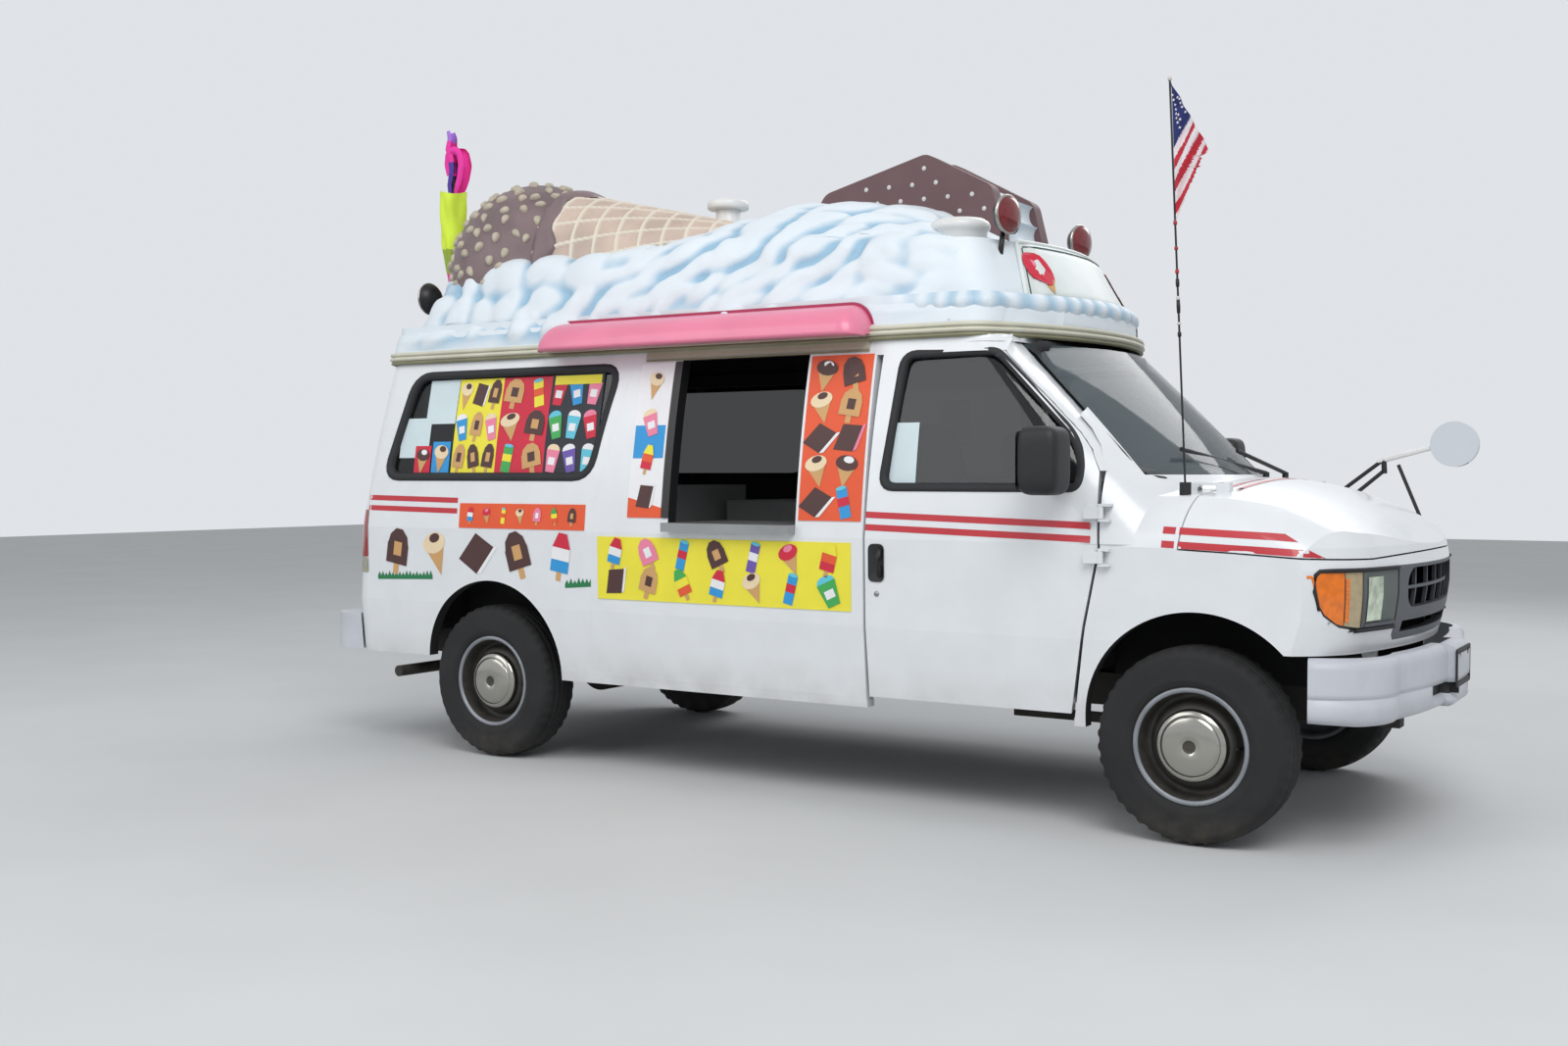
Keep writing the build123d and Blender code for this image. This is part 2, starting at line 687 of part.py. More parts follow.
hub_inner, hub_outer = -55, 40
with BuildPart() as rear_axle:
    axle_at = -wheelbase
    add(tube_y(axle_at, wheel_z, -700, 700, 40))
    add(tube_y(axle_at, wheel_z, -rear_track / 2 - hub_outer + 6, rear_track / 2 + hub_outer - 6, spindle_radius))
    add(tube_y(axle_at, wheel_z, -110, 110, 140))
    for s in (-1, 1):
        low, high = sorted((s * 500, s * 560))
        add(prism_y([(axle_at - 640, 500), (axle_at - 100, 425), (axle_at + 100, 425), (axle_at + 640, 500),
                     (axle_at + 640, 475), (axle_at + 100, 395), (axle_at - 100, 395), (axle_at - 640, 475)],
                    low, high))
        low, high = sorted((s * 460, s * 560))
        for ahead in (-640, 600):
            add(block(axle_at + ahead, axle_at + ahead + 40, low, high, 470, 530))
finish(rear_axle, "rear_axle")

with BuildPart() as exhaust:
    add(block(-2500, -1900, 120, 330, 470, 580, 60))
    with BuildLine() as pipe_line:
        FilletPolyline((at(-4080), -1010, 390), (at(-4080), -100, 390), (at(-3980), 100, 400),
                       (at(-3800), 225, 500), (at(-2495), 225, 520), radius=60)
    with BuildSketch(Plane(origin=(at(-4080), -1010, 390), z_dir=(0, 1, 0))):
        Circle(28)
    sweep(path=pipe_line.line)
    for ahead in (-2440, -1960):
        add(block(ahead - 10, ahead + 10, 200, 240, 570, floor_low_z - seat_gap))
    add(block(-4090, -4070, -rail_y - 15, -rail_y + 15, 400, rail_low_z - seat_gap))
finish(exhaust, "exhaust")


def wheel_profile(points, ahead, y, s):
    """Ring or disc turned about a wheel's axle, from (radius, outward) points."""
    with BuildPart() as solid:
        with BuildSketch(Plane.XY.offset(wheel_z)):
            with BuildLine():
                Polyline(*[(at(ahead) + r, y + s * a) for r, a in points], close=True)
            make_face()
        revolve(axis=Axis((at(ahead), y, wheel_z), (0, 1, 0)))
    return solid.part


half_tyre = tyre_width / 2
bead_radius = 203
rim_radius = rim_diameter / 2
bead_half, flange_half, barrel_radius = 88, 98, bead_radius - 9
tyre_points = [
    (bead_radius, -bead_half), (rim_radius, -bead_half), (rim_radius + 40, -half_tyre), (tyre_radius - 55, -half_tyre),
    (tyre_radius - 12, -half_tyre + 16), (tyre_radius, -half_tyre + 34), (tyre_radius, half_tyre - 34),
    (tyre_radius - 12, half_tyre - 16), (tyre_radius - 55, half_tyre), (rim_radius + 40, half_tyre),
    (rim_radius, bead_half), (bead_radius, bead_half),
]
rim_points = [
    (bead_radius, -bead_half), (rim_radius, -bead_half), (rim_radius, -flange_half), (barrel_radius, -flange_half), (barrel_radius, -6),
    (150, 34), (120, 62), (75, 62), (60, hub_inner), (spindle_radius + running_clearance, hub_inner),
    (spindle_radius + running_clearance, hub_outer), (10, hub_outer), (10, 92), (60, 108), (110, 100),
    (135, 84), (138, 74), (160, 46), (barrel_radius, 12), (barrel_radius, flange_half), (rim_radius, flange_half),
    (rim_radius, bead_half), (bead_radius, bead_half),
]
wheels = (
    ("front_right", 0, -front_track / 2, -1),
    ("front_left", 0, front_track / 2, 1),
    ("rear_right", -wheelbase, -rear_track / 2, -1),
    ("rear_left", -wheelbase, rear_track / 2, 1),
)
for place, ahead, y, s in wheels:
    with BuildPart() as tyre:
        add(wheel_profile(tyre_points, ahead, y, s))
    finish(tyre, f"tyre_{place}")
    with BuildPart() as rim:
        add(wheel_profile(rim_points, ahead, y, s))
    finish(rim, f"rim_{place}")

for s, name in ((-1, "right"), (1, "left")):
    with BuildPart() as knuckle:
        add(tube_z(0, s * king_pin_y, wheel_z - 57, wheel_z + 57, 28))
        add(tube_z(0, s * king_pin_y, wheel_z - 98, wheel_z + 98, king_pin_radius))
        low, high = sorted((s * king_pin_y, s * (front_track / 2 + hub_outer - 6)))
        add(tube_y(0, wheel_z, low, high, spindle_radius))
    finish(knuckle, f"knuckle_{name}")

# Bumpers
bumper_low_z, bumper_high_z = 478, 705
plate_spacing = 177.8


def bumper_plan(inset):
    """Plan of the front bumper's outer skin, drawn in by an inset."""
    half, front = 978 - inset, front_overhang - inset
    turn, bend = (at(front - 85), 640), (at(front - 155), 880 - inset * 0.75)
    with BuildSketch(Plane.XY.offset(bumper_low_z)) as section:
        with BuildLine():
            Line((at(405), -half), (at(450), -half))
            ThreePointArc((at(450), -half), (bend[0], -bend[1]), (turn[0], -turn[1]))
            ThreePointArc((turn[0], -turn[1]), (at(front), 0), turn)
            ThreePointArc(turn, bend, (at(450), half))
            Line((at(450), half), (at(405), half))
            Line((at(405), half), (at(405), -half))
        make_face()
    return section.sketch


plate_front = front_overhang + bracket_depth
with BuildPart() as front_bumper:
    add(bumper_plan(0) - bumper_plan(60))
    extrude(amount=bumper_high_z - bumper_low_z)
    with BuildSketch(Plane.XY.offset(bumper_high_z - 10)):
        add(bumper_plan(12))
    extrude(amount=26)
    add(block(300, 520, -820, 820, bumper_high_z - 20, bumper_high_z + 40), mode=Mode.SUBTRACT)
    add(block(520, 560, -700, 700, bumper_high_z - 20, bumper_high_z + 40), mode=Mode.SUBTRACT)
    add(prism_y([(300, 400), (488, 400), (405, bumper_high_z), (300, bumper_high_z)], -side_out, side_out),
        mode=Mode.SUBTRACT)
    with BuildSketch(Plane.YZ.offset(at(900))):
        with Locations((0, 555)):
            RectangleRounded(680, 54, 12)
    extrude(amount=-260, mode=Mode.SUBTRACT)
    for s in (-1, 1):
        low, high = s * rail_y - 30, s * rail_y + 30
        add(block(640, 690, low, high, 490, 550))
        low, high = s * 80 - 8, s * 80 + 8
        add(block(735, plate_front, low, high, 600, 690))
    add(block(plate_front - 6, plate_front, -150, 150, 555, 705))
    with BuildSketch(Plane.YZ.offset(at(plate_front))):
        with Locations((-plate_spacing / 2, 680), (plate_spacing / 2, 680)):
            Circle(3.5)
    extrude(amount=-10, mode=Mode.SUBTRACT)
finish(front_bumper, "front_bumper")

with BuildPart() as rear_bumper:
    add(block(-4605, -4335, -990, 990, 482, 668, 130))
    add(lower_body(-8), mode=Mode.SUBTRACT)
    with BuildSketch(Plane.XY.offset(300)):
        with Locations((at(-4540), 0)):
            Circle(12.7)
    extrude(amount=600, mode=Mode.SUBTRACT)
finish(rear_bumper, "rear_bumper")


# Roof cap and what stands on it
# Columns: height, half width, tail, side's end, pillar (ahead, y), front middle
cap_table = (
    (rail_z, cap_low_half, 4305, -1010, (-855, 700), -645),
    (cap_band_z, 858, 4280, -1030, (-868, 690), -650),
)
dome_table = (
    (rail_z, 842, 4255, -1040, (-800, 690), -635),
    (cap_top_z, 700, 4060, -1150, (-1010, 560), -885),
)


def cap_mould(inset, band_z):
    """Roof cap's outer form, drawn in by an inset: its band up to a height, and the dome above."""
    with BuildPart() as solid:
        loft([plan_face(z, *row, inset) for z, *row in cap_table], ruled=True)
        add(block(-6000, 2000, -side_out, side_out, band_z, 3000), mode=Mode.SUBTRACT)
        loft([plan_face(z - (inset if z > cap_band_z else 0), *row, inset) for z, *row in dome_table])
    return solid.part


cap_outer = cap_mould(0, cap_band_z)
with BuildPart() as roof_cap:
    add(cap_outer)
    add(cap_mould(cap_wall, cap_band_z - cap_wall), mode=Mode.SUBTRACT)
finish(roof_cap, "roof_cap")

# Columns: ahead of the axle, foot half width, shoulder y, shoulder height, crown height
cream_table = (
    (-4225, 560, 420, 2210, 2240),
    (-3900, 800, 660, 2370, 2420),
    (-3300, 835, 700, 2400, 2450),
    (-2600, 840, 700, 2400, 2580),
    (-1900, 835, 640, 2430, 2660),
    (-1350, 800, 560, 2410, 2520),
    (-1040, 640, 440, 2392, 2405),
)
with BuildPart() as cream_relief:
    for ahead, foot, shoulder_y, top_z, crown_z in cream_table:
        with BuildSketch(Plane.YZ.offset(at(ahead))):
            with BuildLine():
                Polyline((-shoulder_y, top_z), (-foot, cap_band_z), (foot, cap_band_z), (shoulder_y, top_z))
                ThreePointArc((-shoulder_y, top_z), (0, crown_z), (shoulder_y, top_z))
            make_face()
    loft()
    add(cap_outer, mode=Mode.SUBTRACT)
finish(cream_relief, "cream_relief")

scoop_at = (at(-3740), -280, 2430)
under_cream = block(-5000, 0, -1000, 1000, 1900, 2200)
with BuildPart() as scoop:
    with Locations(scoop_at):
        Sphere(480)
    add(under_cream, mode=Mode.SUBTRACT)
    add(cap_outer, mode=Mode.SUBTRACT)
    add(cream_relief.part, mode=Mode.SUBTRACT)
finish(scoop, "scoop")

with BuildPart() as cone:
    with BuildSketch(Plane(origin=scoop_at, x_dir=(1, 0, 0), z_dir=(0, 1, 0))):
        with BuildLine():
            Polyline((290, 0), (290, -405), (2010, -12), (2010, 0), close=True)
        make_face()
    revolve(axis=Axis(scoop_at, (1, 0, 0)))
    for cutter in (scoop.part, cap_outer, cream_relief.part):
        add(cutter, mode=Mode.SUBTRACT)
finish(cone, "cone")

sandwich_line = [(-2330, 2500), (-2150, 2760), (-1600, 2900), (-1480, 2790), (-1330, 2760), (-1180, 2670),
                 (-1130, 2470), (-1130, 2300), (-2330, 2300)]
with BuildPart() as wafers:
    add(prism_y(sandwich_line, -20, 60))
    add(prism_y(sandwich_line, 270, 350))
    add(cap_outer, mode=Mode.SUBTRACT)
    add(cream_relief.part, mode=Mode.SUBTRACT)
finish(wafers, "wafers")
with BuildPart() as filling:
    add(prism_y(grown(sandwich_line, -15), 60, 270))
    add(cap_outer, mode=Mode.SUBTRACT)
    add(cream_relief.part, mode=Mode.SUBTRACT)
finish(filling, "filling")

with BuildPart() as roof_vents:
    add(tube_z(-2675, -100, 2400, 2740, 62))
    add(tube_z(-2675, -100, 2715, 2772, 105))
    add(tube_z(-1235, -400, 2300, 2480, 135))
    for cutter in (cap_outer, cream_relief.part, cone.part, wafers.part):
        add(cutter, mode=Mode.SUBTRACT)
finish(roof_vents, "roof_vents")

sign_line = [(-500, 2135), (500, 2135), (385, 2375), (-385, 2375)]
with BuildPart() as sign_board:
    add(cap_mould(-14, cap_band_z) - cap_outer)
    add(prism_x(sign_line, -1100, -500), mode=Mode.INTERSECT)
    add(cream_relief.part, mode=Mode.SUBTRACT)
finish(sign_board, "sign_board")


def tube_x(y, z, ahead_low, ahead_high, radius):
    """Round bar along the van."""
    with BuildPart() as solid:
        with BuildSketch(Plane.YZ.offset(at(ahead_low))):
            with Locations((y, z)):
                Circle(radius)
        extrude(amount=ahead_high - ahead_low)
    return solid.part


lamp_radius = 82
# Columns: y, height, rear face, front face
warning_lamp_table = (
    (-550, 2484, -985, -900),
    (480, 2500, -1070, -985),
    (-650, 2310, -4240, -4160),
    (650, 2310, -4240, -4160),
)
with BuildPart() as warning_lamps:
    for y, z, ahead_low, ahead_high in warning_lamp_table:
        add(tube_x(y, z, ahead_low, ahead_high, lamp_radius))
        add(tube_z((ahead_low + ahead_high) / 2, y, 2050, z, 14))
    add(tube_x(-400, 2478, -1040, -985, 56))
    add(tube_z(-1012, -400, 2300, 2478, 12))
    for cutter in (cap_outer, cream_relief.part, scoop.part):
        add(cutter, mode=Mode.SUBTRACT)
finish(warning_lamps, "warning_lamps")

awning_profile = [(-800, 2108), (-900, 2104), (-965, 2083), (-1013, 2042), (-1036, 1995), (-1040, 1966),
                  (-800, 1966)]
awning_rear, awning_front = -3176, -1413
awning_line = [(awning_rear, 1966), (awning_rear, 2000), (-3150, 2110), (-1495, 2110), (-1458, 2092),
               (-1430, 2046), (-1415, 1996), (awning_front, 1966)]
awning_wall = 12
with BuildPart() as awning:
    add(prism_x(awning_profile, awning_rear - 4, awning_front + 4))
    add(prism_y(awning_line, -1100, -700), mode=Mode.INTERSECT)
    add(prism_x(grown(awning_profile, -awning_wall), awning_rear, awning_front) & prism_y(
        grown(awning_line, -awning_wall), -1100, -700), mode=Mode.SUBTRACT)
    add(block(awning_rear + 30, awning_front - 30, -1028, -800, 1900, 1990), mode=Mode.SUBTRACT)
    for cutter in (cap_outer, cream_relief.part, block(-3200, -1300, -cap_low_half - 8, -700, 1900, 2020)):
        add(cutter, mode=Mode.SUBTRACT)
finish(awning, "awning")

# Serving side
with BuildPart() as counter:
    add(block(-2390 + seat_gap, -1715 - seat_gap, -1060, -560, 1130, 1170))
finish(counter, "counter")

sheet = 4
poster_skin = (greenhouse(-sheet) + lower_body(-sheet)) - outer_mould
with BuildPart() as menu_boards:
    for x_low, x_high, z_low, z_high in ((-2790, -1440, 812, 1100), (-1700, -1395, 1190, 1895),
                                         (-2620, -2430, 1190, 1895), (-3660, -2870, 1125, 1245)):
        add(poster_skin & block(x_low, x_high, -side_out, -700, z_low, z_high))
finish(menu_boards, "menu_boards")

with BuildPart() as freezer:
    add(block(-2900, -1700, 200, 860, floor_top_z, 1250, 20))
    add(block(-4250, -2960, -500, 500, floor_top_z, 1330, 20))
finish(freezer, "freezer")

with BuildPart() as seats:
    for y in (-525, 525):
        add(block(-1330, -800, y - 235, y + 235, 880, 1010, 40))
        add(block(-1370, -1210, y - 235, y + 235, 1010, 1620, 40))
        add(block(-1250, -880, y - 150, y + 150, floor_top_z, 880))
finish(seats, "seats")

dash_line = [(-640, cover_top_z), (-640, 1320), (-600, 1342), (-300, 1350), (-300, 1325),
             (-nose_back - 21, 1302), (-nose_back - 21, cover_top_z)]
with BuildPart() as dashboard:
    add(block(-640, -nose_back - 21, -880, 880, cover_top_z, 1290))
    add(prism_y(dash_line, -600, 600))
finish(dashboard, "dashboard")

wheel_tilt = 62
column = Plane(origin=(at(-770), 520, 1230), x_dir=(0, 1, 0),
               z_dir=(-sin(radians(wheel_tilt)), 0, cos(radians(wheel_tilt))))
with BuildPart(column) as column_parts:
    Torus(190, 14)
    Box(372, 30, 20)
    Cylinder(60, 36)
    Cylinder(24, 190, align=(Align.CENTER, Align.CENTER, Align.MAX))
with BuildPart() as steering_wheel:
    add(column_parts.part)
    add(dashboard.part, mode=Mode.SUBTRACT)
finish(steering_wheel, "steering_wheel")

# Columns: pivot ahead of the axle, pivot y, blade tip ahead of the axle, tip y
wiper_table = ((-52, 200, -205, -480), (-75, 600, -150, 100))
with BuildPart() as wipers:
    for ahead, y, tip_ahead, tip_y in wiper_table:
        with BuildLine() as arm:
            Line((at(ahead), y, 1392), (at(tip_ahead), tip_y, 1488))
        with BuildSketch(Plane(origin=arm.line @ 0, z_dir=arm.line % 0)):
            Circle(9)
        sweep(path=arm.line)
        add(tube_z(ahead, y, 1330, 1396, 14))
    add(outer_mould, mode=Mode.SUBTRACT)
finish(wipers, "wipers")

whip_foot, whip_tip = (-78, -815, 1330), (-146, -830, 2890)
sock_ahead, sock_y = -4270, -400
with BuildPart() as masts:
    add(tube_z(whip_foot[0], whip_foot[1], 1240, 1356, 22))
    with BuildLine() as whip_line:
        Line((at(whip_foot[0]), *whip_foot[1:]), (at(whip_tip[0]), *whip_tip[1:]))
    with BuildSketch(Plane(origin=whip_line.line @ 0, z_dir=whip_line.line % 0)):
        Circle(4)
    sweep(path=whip_line.line)
    add(tube_z(sock_ahead, sock_y, cap_band_z - 20, 3120, 9))
    for cutter in (outer_mould, cap_outer):
        add(cutter, mode=Mode.SUBTRACT)
finish(masts, "masts")

with BuildPart() as flag:
    add(prism_y([(-141, 2880), (-117, 2335), (13, 2597)], -836, -822))
finish(flag, "flag")

# Columns: height, radius
sock_table = ((2405, 24), (2600, 60), (2900, 78), (3050, 62), (3245, 36))
with BuildPart() as windsock:
    for z, radius in sock_table:
        with BuildSketch(Plane.XY.offset(z)):
            with Locations((at(sock_ahead), sock_y)):
                Circle(radius)
    loft(ruled=True)
    add(tube_z(sock_ahead, sock_y, 2000, 3120 + seat_gap, 9 + seat_gap), mode=Mode.SUBTRACT)
finish(windsock, "windsock")

# Columns: start (ahead, z), end (ahead, z), radius
mirror_rods = (
    ((20, 1240), (290, 1450), 9),
    ((60, 1200), (300, 1405), 9),
    ((270, 1445), (520, 1512), 12),
    ((360, 1430), (470, 1160), 8),
    ((296, 1460), (300, 1390), 12),
)
mirror_y = 880
with BuildPart() as crossover_mirror:
    for (ahead, z), (end_ahead, end_z), radius in mirror_rods:
        with BuildLine() as rod:
            Line((at(ahead), mirror_y, z), (at(end_ahead), mirror_y, end_z))
        with BuildSketch(Plane(origin=rod.line @ 0, z_dir=rod.line % 0)):
            Circle(radius)
        sweep(path=rod.line)
    with Locations(Location((at(600), mirror_y, 1522), (90, 0, 0))):
        Cylinder(102, 40)
    add(outer_mould, mode=Mode.SUBTRACT)
finish(crossover_mirror, "crossover_mirror")
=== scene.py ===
"""Looks of the ice cream truck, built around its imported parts."""
import math
import random

import bmesh
import bpy
import numpy as np
from mathutils import Matrix, Vector
from mathutils.bvhtree import BVHTree


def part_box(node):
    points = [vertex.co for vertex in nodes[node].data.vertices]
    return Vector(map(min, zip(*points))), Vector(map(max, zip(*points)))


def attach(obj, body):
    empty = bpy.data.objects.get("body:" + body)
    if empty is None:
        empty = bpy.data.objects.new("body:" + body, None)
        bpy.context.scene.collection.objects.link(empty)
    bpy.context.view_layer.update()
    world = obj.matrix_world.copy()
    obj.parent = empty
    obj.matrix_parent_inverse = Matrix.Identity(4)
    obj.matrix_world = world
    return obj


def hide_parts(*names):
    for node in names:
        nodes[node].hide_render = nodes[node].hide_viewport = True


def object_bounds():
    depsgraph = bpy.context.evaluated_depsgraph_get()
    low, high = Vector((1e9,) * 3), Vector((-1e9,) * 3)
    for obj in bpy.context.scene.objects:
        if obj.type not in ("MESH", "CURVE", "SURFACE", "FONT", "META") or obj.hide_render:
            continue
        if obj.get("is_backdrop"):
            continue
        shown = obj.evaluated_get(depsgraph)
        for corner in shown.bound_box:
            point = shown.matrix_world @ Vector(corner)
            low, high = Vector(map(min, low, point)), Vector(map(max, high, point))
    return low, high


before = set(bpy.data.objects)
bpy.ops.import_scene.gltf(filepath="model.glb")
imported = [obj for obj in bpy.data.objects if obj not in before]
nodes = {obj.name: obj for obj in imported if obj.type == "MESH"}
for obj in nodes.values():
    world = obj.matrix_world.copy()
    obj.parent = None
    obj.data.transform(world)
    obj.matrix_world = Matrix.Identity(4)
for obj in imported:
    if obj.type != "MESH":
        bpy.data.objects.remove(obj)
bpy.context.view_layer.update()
scene = bpy.context.scene

RIGHT, LEFT = -1, 1
SIDES = ((RIGHT, "right"), (LEFT, "left"))


def middle_of(name):
    """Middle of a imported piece's box."""
    return [(low + high) / 2 for low, high in zip(*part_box(name))]


axle_x, _, wheel_z = middle_of("tyre_front_right")
rear_axle = middle_of("tyre_rear_right")[0] - axle_x


def at(ahead):
    """X of a place given in metres ahead of the front axle."""
    return axle_x + ahead


def line_at(*places):
    """Outline from (ahead of the front axle, other coordinate) places."""
    return [(at(ahead), other) for ahead, other in places]


def turns(count):
    """Angles of one full turn in equal steps."""
    return [2 * math.pi * k / count for k in range(count)]


# Materials

def rgb(red, green, blue):
    """Linear colour from the 0 to 255 values it is seen as."""
    shares = [c / 255 for c in (red, green, blue)]
    return [c / 12.92 if c <= 0.04 else ((c + 0.055) / 1.055) ** 2.4 for c in shares] + [1]


def add_node(tree, kind, **values):
    """New shader node with some of its sockets set."""
    made = tree.nodes.new(f"ShaderNode{kind}")
    for socket, value in values.items():
        made.inputs[socket.replace("_", " ")].default_value = value
    return made


def material(name, colour, rough=0.45, metal=0.0, vary=0.06, scale=6, bump=0, bump_scale=120, **sockets):
    """Shader whose colour drifts a little over the surface, with an optional fine grain."""
    made = bpy.data.materials.new(name)
    made.use_nodes = True
    tree = made.node_tree
    link = tree.links.new
    shader = tree.nodes["Principled BSDF"]
    for socket, value in {"Roughness": rough, "Metallic": metal, **sockets}.items():
        shader.inputs[socket.replace("_", " ")].default_value = value
    place = add_node(tree, "TexCoord").outputs["Object"]
    noise = add_node(tree, "TexNoise", Scale=scale, Detail=5)
    ramp = add_node(tree, "ValToRGB")
    for stop, position, share in zip(ramp.color_ramp.elements, (0.35, 0.65), (1 - vary, 1 + vary)):
        stop.position = position
        stop.color = [min(1, c * share) for c in rgb(*colour)[:3]] + [1]
    link(place, noise.inputs["Vector"])
    link(noise.outputs["Fac"], ramp.inputs["Fac"])
    link(ramp.outputs["Color"], shader.inputs["Base Color"])
    if bump:
        grain = add_node(tree, "TexNoise", Scale=bump_scale)
        push = add_node(tree, "Bump", Strength=bump, Distance=0.004)
        link(place, grain.inputs["Vector"])
        link(grain.outputs["Fac"], push.inputs["Height"])
        link(push.outputs["Normal"], shader.inputs["Normal"])
    return made


def mix_over(made, colour, factor):
    """Lays a second colour over a material's own, by a share that factor's nodes work out."""
    tree = made.node_tree
    shader = tree.nodes["Principled BSDF"]
    under = shader.inputs["Base Color"].links[0].from_socket
    mix = add_node(tree, "Mix")
    mix.data_type = "RGBA"
    mix.inputs["B"].default_value = rgb(*colour)
    tree.links.new(under, mix.inputs["A"])
    tree.links.new(factor(tree), mix.inputs["Factor"])
    tree.links.new(mix.outputs["Result"], shader.inputs["Base Color"])
    return made


def height_fade(low, high, strength, scale=9.0):
    """Share that grows from the high height down to the low one, broken up by noise."""
    def factor(tree):
        link = tree.links.new
        place = add_node(tree, "TexCoord").outputs["Object"]
        split = add_node(tree, "SeparateXYZ")
        fade = add_node(tree, "MapRange", From_Min=high, From_Max=low, To_Min=0.0, To_Max=strength)
        noise = add_node(tree, "TexNoise", Scale=scale, Detail=8)
        spread = add_node(tree, "MapRange", From_Min=0.3, From_Max=0.7, To_Min=0.0, To_Max=1.0)
        times = add_node(tree, "Math")
        times.operation = "MULTIPLY"
        link(place, split.inputs["Vector"])
        link(split.outputs["Z"], fade.inputs["Value"])
        link(place, noise.inputs["Vector"])
        link(noise.outputs["Fac"], spread.inputs["Value"])
        link(fade.outputs["Result"], times.inputs[0])
        link(spread.outputs["Result"], times.inputs[1])
        return times.outputs["Value"]
    return factor


def stored(attribute):
    """Share read from a value that the mesh stores at its points."""
    def factor(tree):
        read = add_node(tree, "Attribute")
        read.attribute_name = attribute
        return read.outputs["Fac"]
    return factor


def glass_material(name, colour, alpha):
    """Tinted see-through glass."""
    made = material(name, colour, 0.03, vary=0.03, Alpha=alpha, Specular_IOR_Level=0.6)
    made.surface_render_method = "BLENDED"
    return made


# Paint and plastics
white = material("body_white", (226, 229, 232), 0.28, vary=0.02, Coat_Weight=0.4, Coat_Roughness=0.12)
mix_over(white, (150, 143, 130), height_fade(0.40, 0.60, 0.45, 5))
cap_white = material("cloud_white", (224, 232, 238), 0.5, vary=0.03, scale=3, bump=0.12, bump_scale=50)
# Pale blue mixed into the cream's hollows between lobes and ripples: painted shade.
mix_over(cap_white, (132, 178, 206), stored("hollow_shade"))
bumper_grey = material("bumper_grey", (196, 199, 206), 0.42, vary=0.05, bump=0.05)
grille_grey = material("grille_grey", (88, 92, 98), 0.55, vary=0.08)
recess_grey = material("recess_grey", (52, 55, 60), 0.55, vary=0.08)
black = material("trim_black", (24, 25, 27), 0.55, vary=0.15, bump=0.15)
arch_black = material("arch_black", (18, 18, 19), 0.9, vary=0.2, bump=0.2)
dash_grey = material("dash_grey", (70, 74, 80), 0.7, vary=0.08, bump=0.2)
# Dark grey for the cabin's inner faces, darkened to stand for the shade inside the cabin: painted shade.
inner_wall_shade = material("inner_wall_shade", (50, 49, 49), 0.8, vary=0.12)
freezer_white = material("freezer_white", (188, 190, 190), 0.5, vary=0.05)
awning_pink = material("awning_pink", (232, 128, 158), 0.38, vary=0.06, scale=3, Coat_Weight=0.3)
awning_flange = material("awning_flange", (168, 42, 84), 0.45, vary=0.1)
rail_cream = material("rail_cream", (206, 204, 186), 0.45, vary=0.06)
rail_olive = material("rail_olive", (132, 130, 104), 0.5, vary=0.1)
stripe_red = material("stripe_red", (190, 38, 50), 0.35, vary=0.05, Coat_Weight=0.3)
sign_white = material("sign_white", (222, 228, 226), 0.4, vary=0.04)
sign_green = material("sign_green", (52, 84, 78), 0.5)
pole_white = material("pole_white", (224, 224, 222), 0.35, vary=0.04)
header_look = material("header_beige", (176, 170, 150), 0.5, vary=0.08)
post_look = material("post_dark", (44, 42, 42), 0.5, vary=0.1)
lamp_shade = material("lamp_shade", (92, 100, 96), 0.5, vary=0.1)
floor_look = material("floor_pale", (206, 208, 208), 0.9, vary=0.02, scale=1)

# Rubber, cloth and tape
rubber = material("gasket_rubber", (33, 34, 37), 0.7, vary=0.12, bump=0.1)
tyre_rubber = material("tyre_rubber", (34, 34, 35), 0.85, vary=0.15, bump=0.4, bump_scale=260)
mix_over(tyre_rubber, (92, 86, 74), height_fade(0.0, 0.16, 0.5, 16))
seat_cloth = material("seat_cloth", (78, 84, 96), 0.95, vary=0.12, bump=0.4, bump_scale=500)
flag_navy = material("flag_navy", (38, 48, 104), 0.9, vary=0.1, scale=30)
flag_red = material("flag_red", (184, 40, 56), 0.9, vary=0.1, scale=30)
flag_white = material("flag_white", (222, 216, 220), 0.9, vary=0.04, scale=30)
sock_yellow = material("sock_yellow", (214, 240, 70), 0.8, vary=0.06)
# Darker, greener copy of the sock's yellow for its lower band: painted shade.
sock_yellow_shade = material("sock_yellow_shade", (150, 176, 62), 0.8, vary=0.06)
sock_pink = material("sock_pink", (240, 60, 168), 0.8, vary=0.06)
sock_purple = material("sock_purple", (84, 62, 160), 0.8, vary=0.08)
sock_violet = material("sock_violet", (170, 120, 216), 0.8, vary=0.08)
tape_white = material("tape_white", (206, 200, 196), 0.7, vary=0.1)
tape_red = material("tape_red", (170, 50, 50), 0.7, vary=0.1)

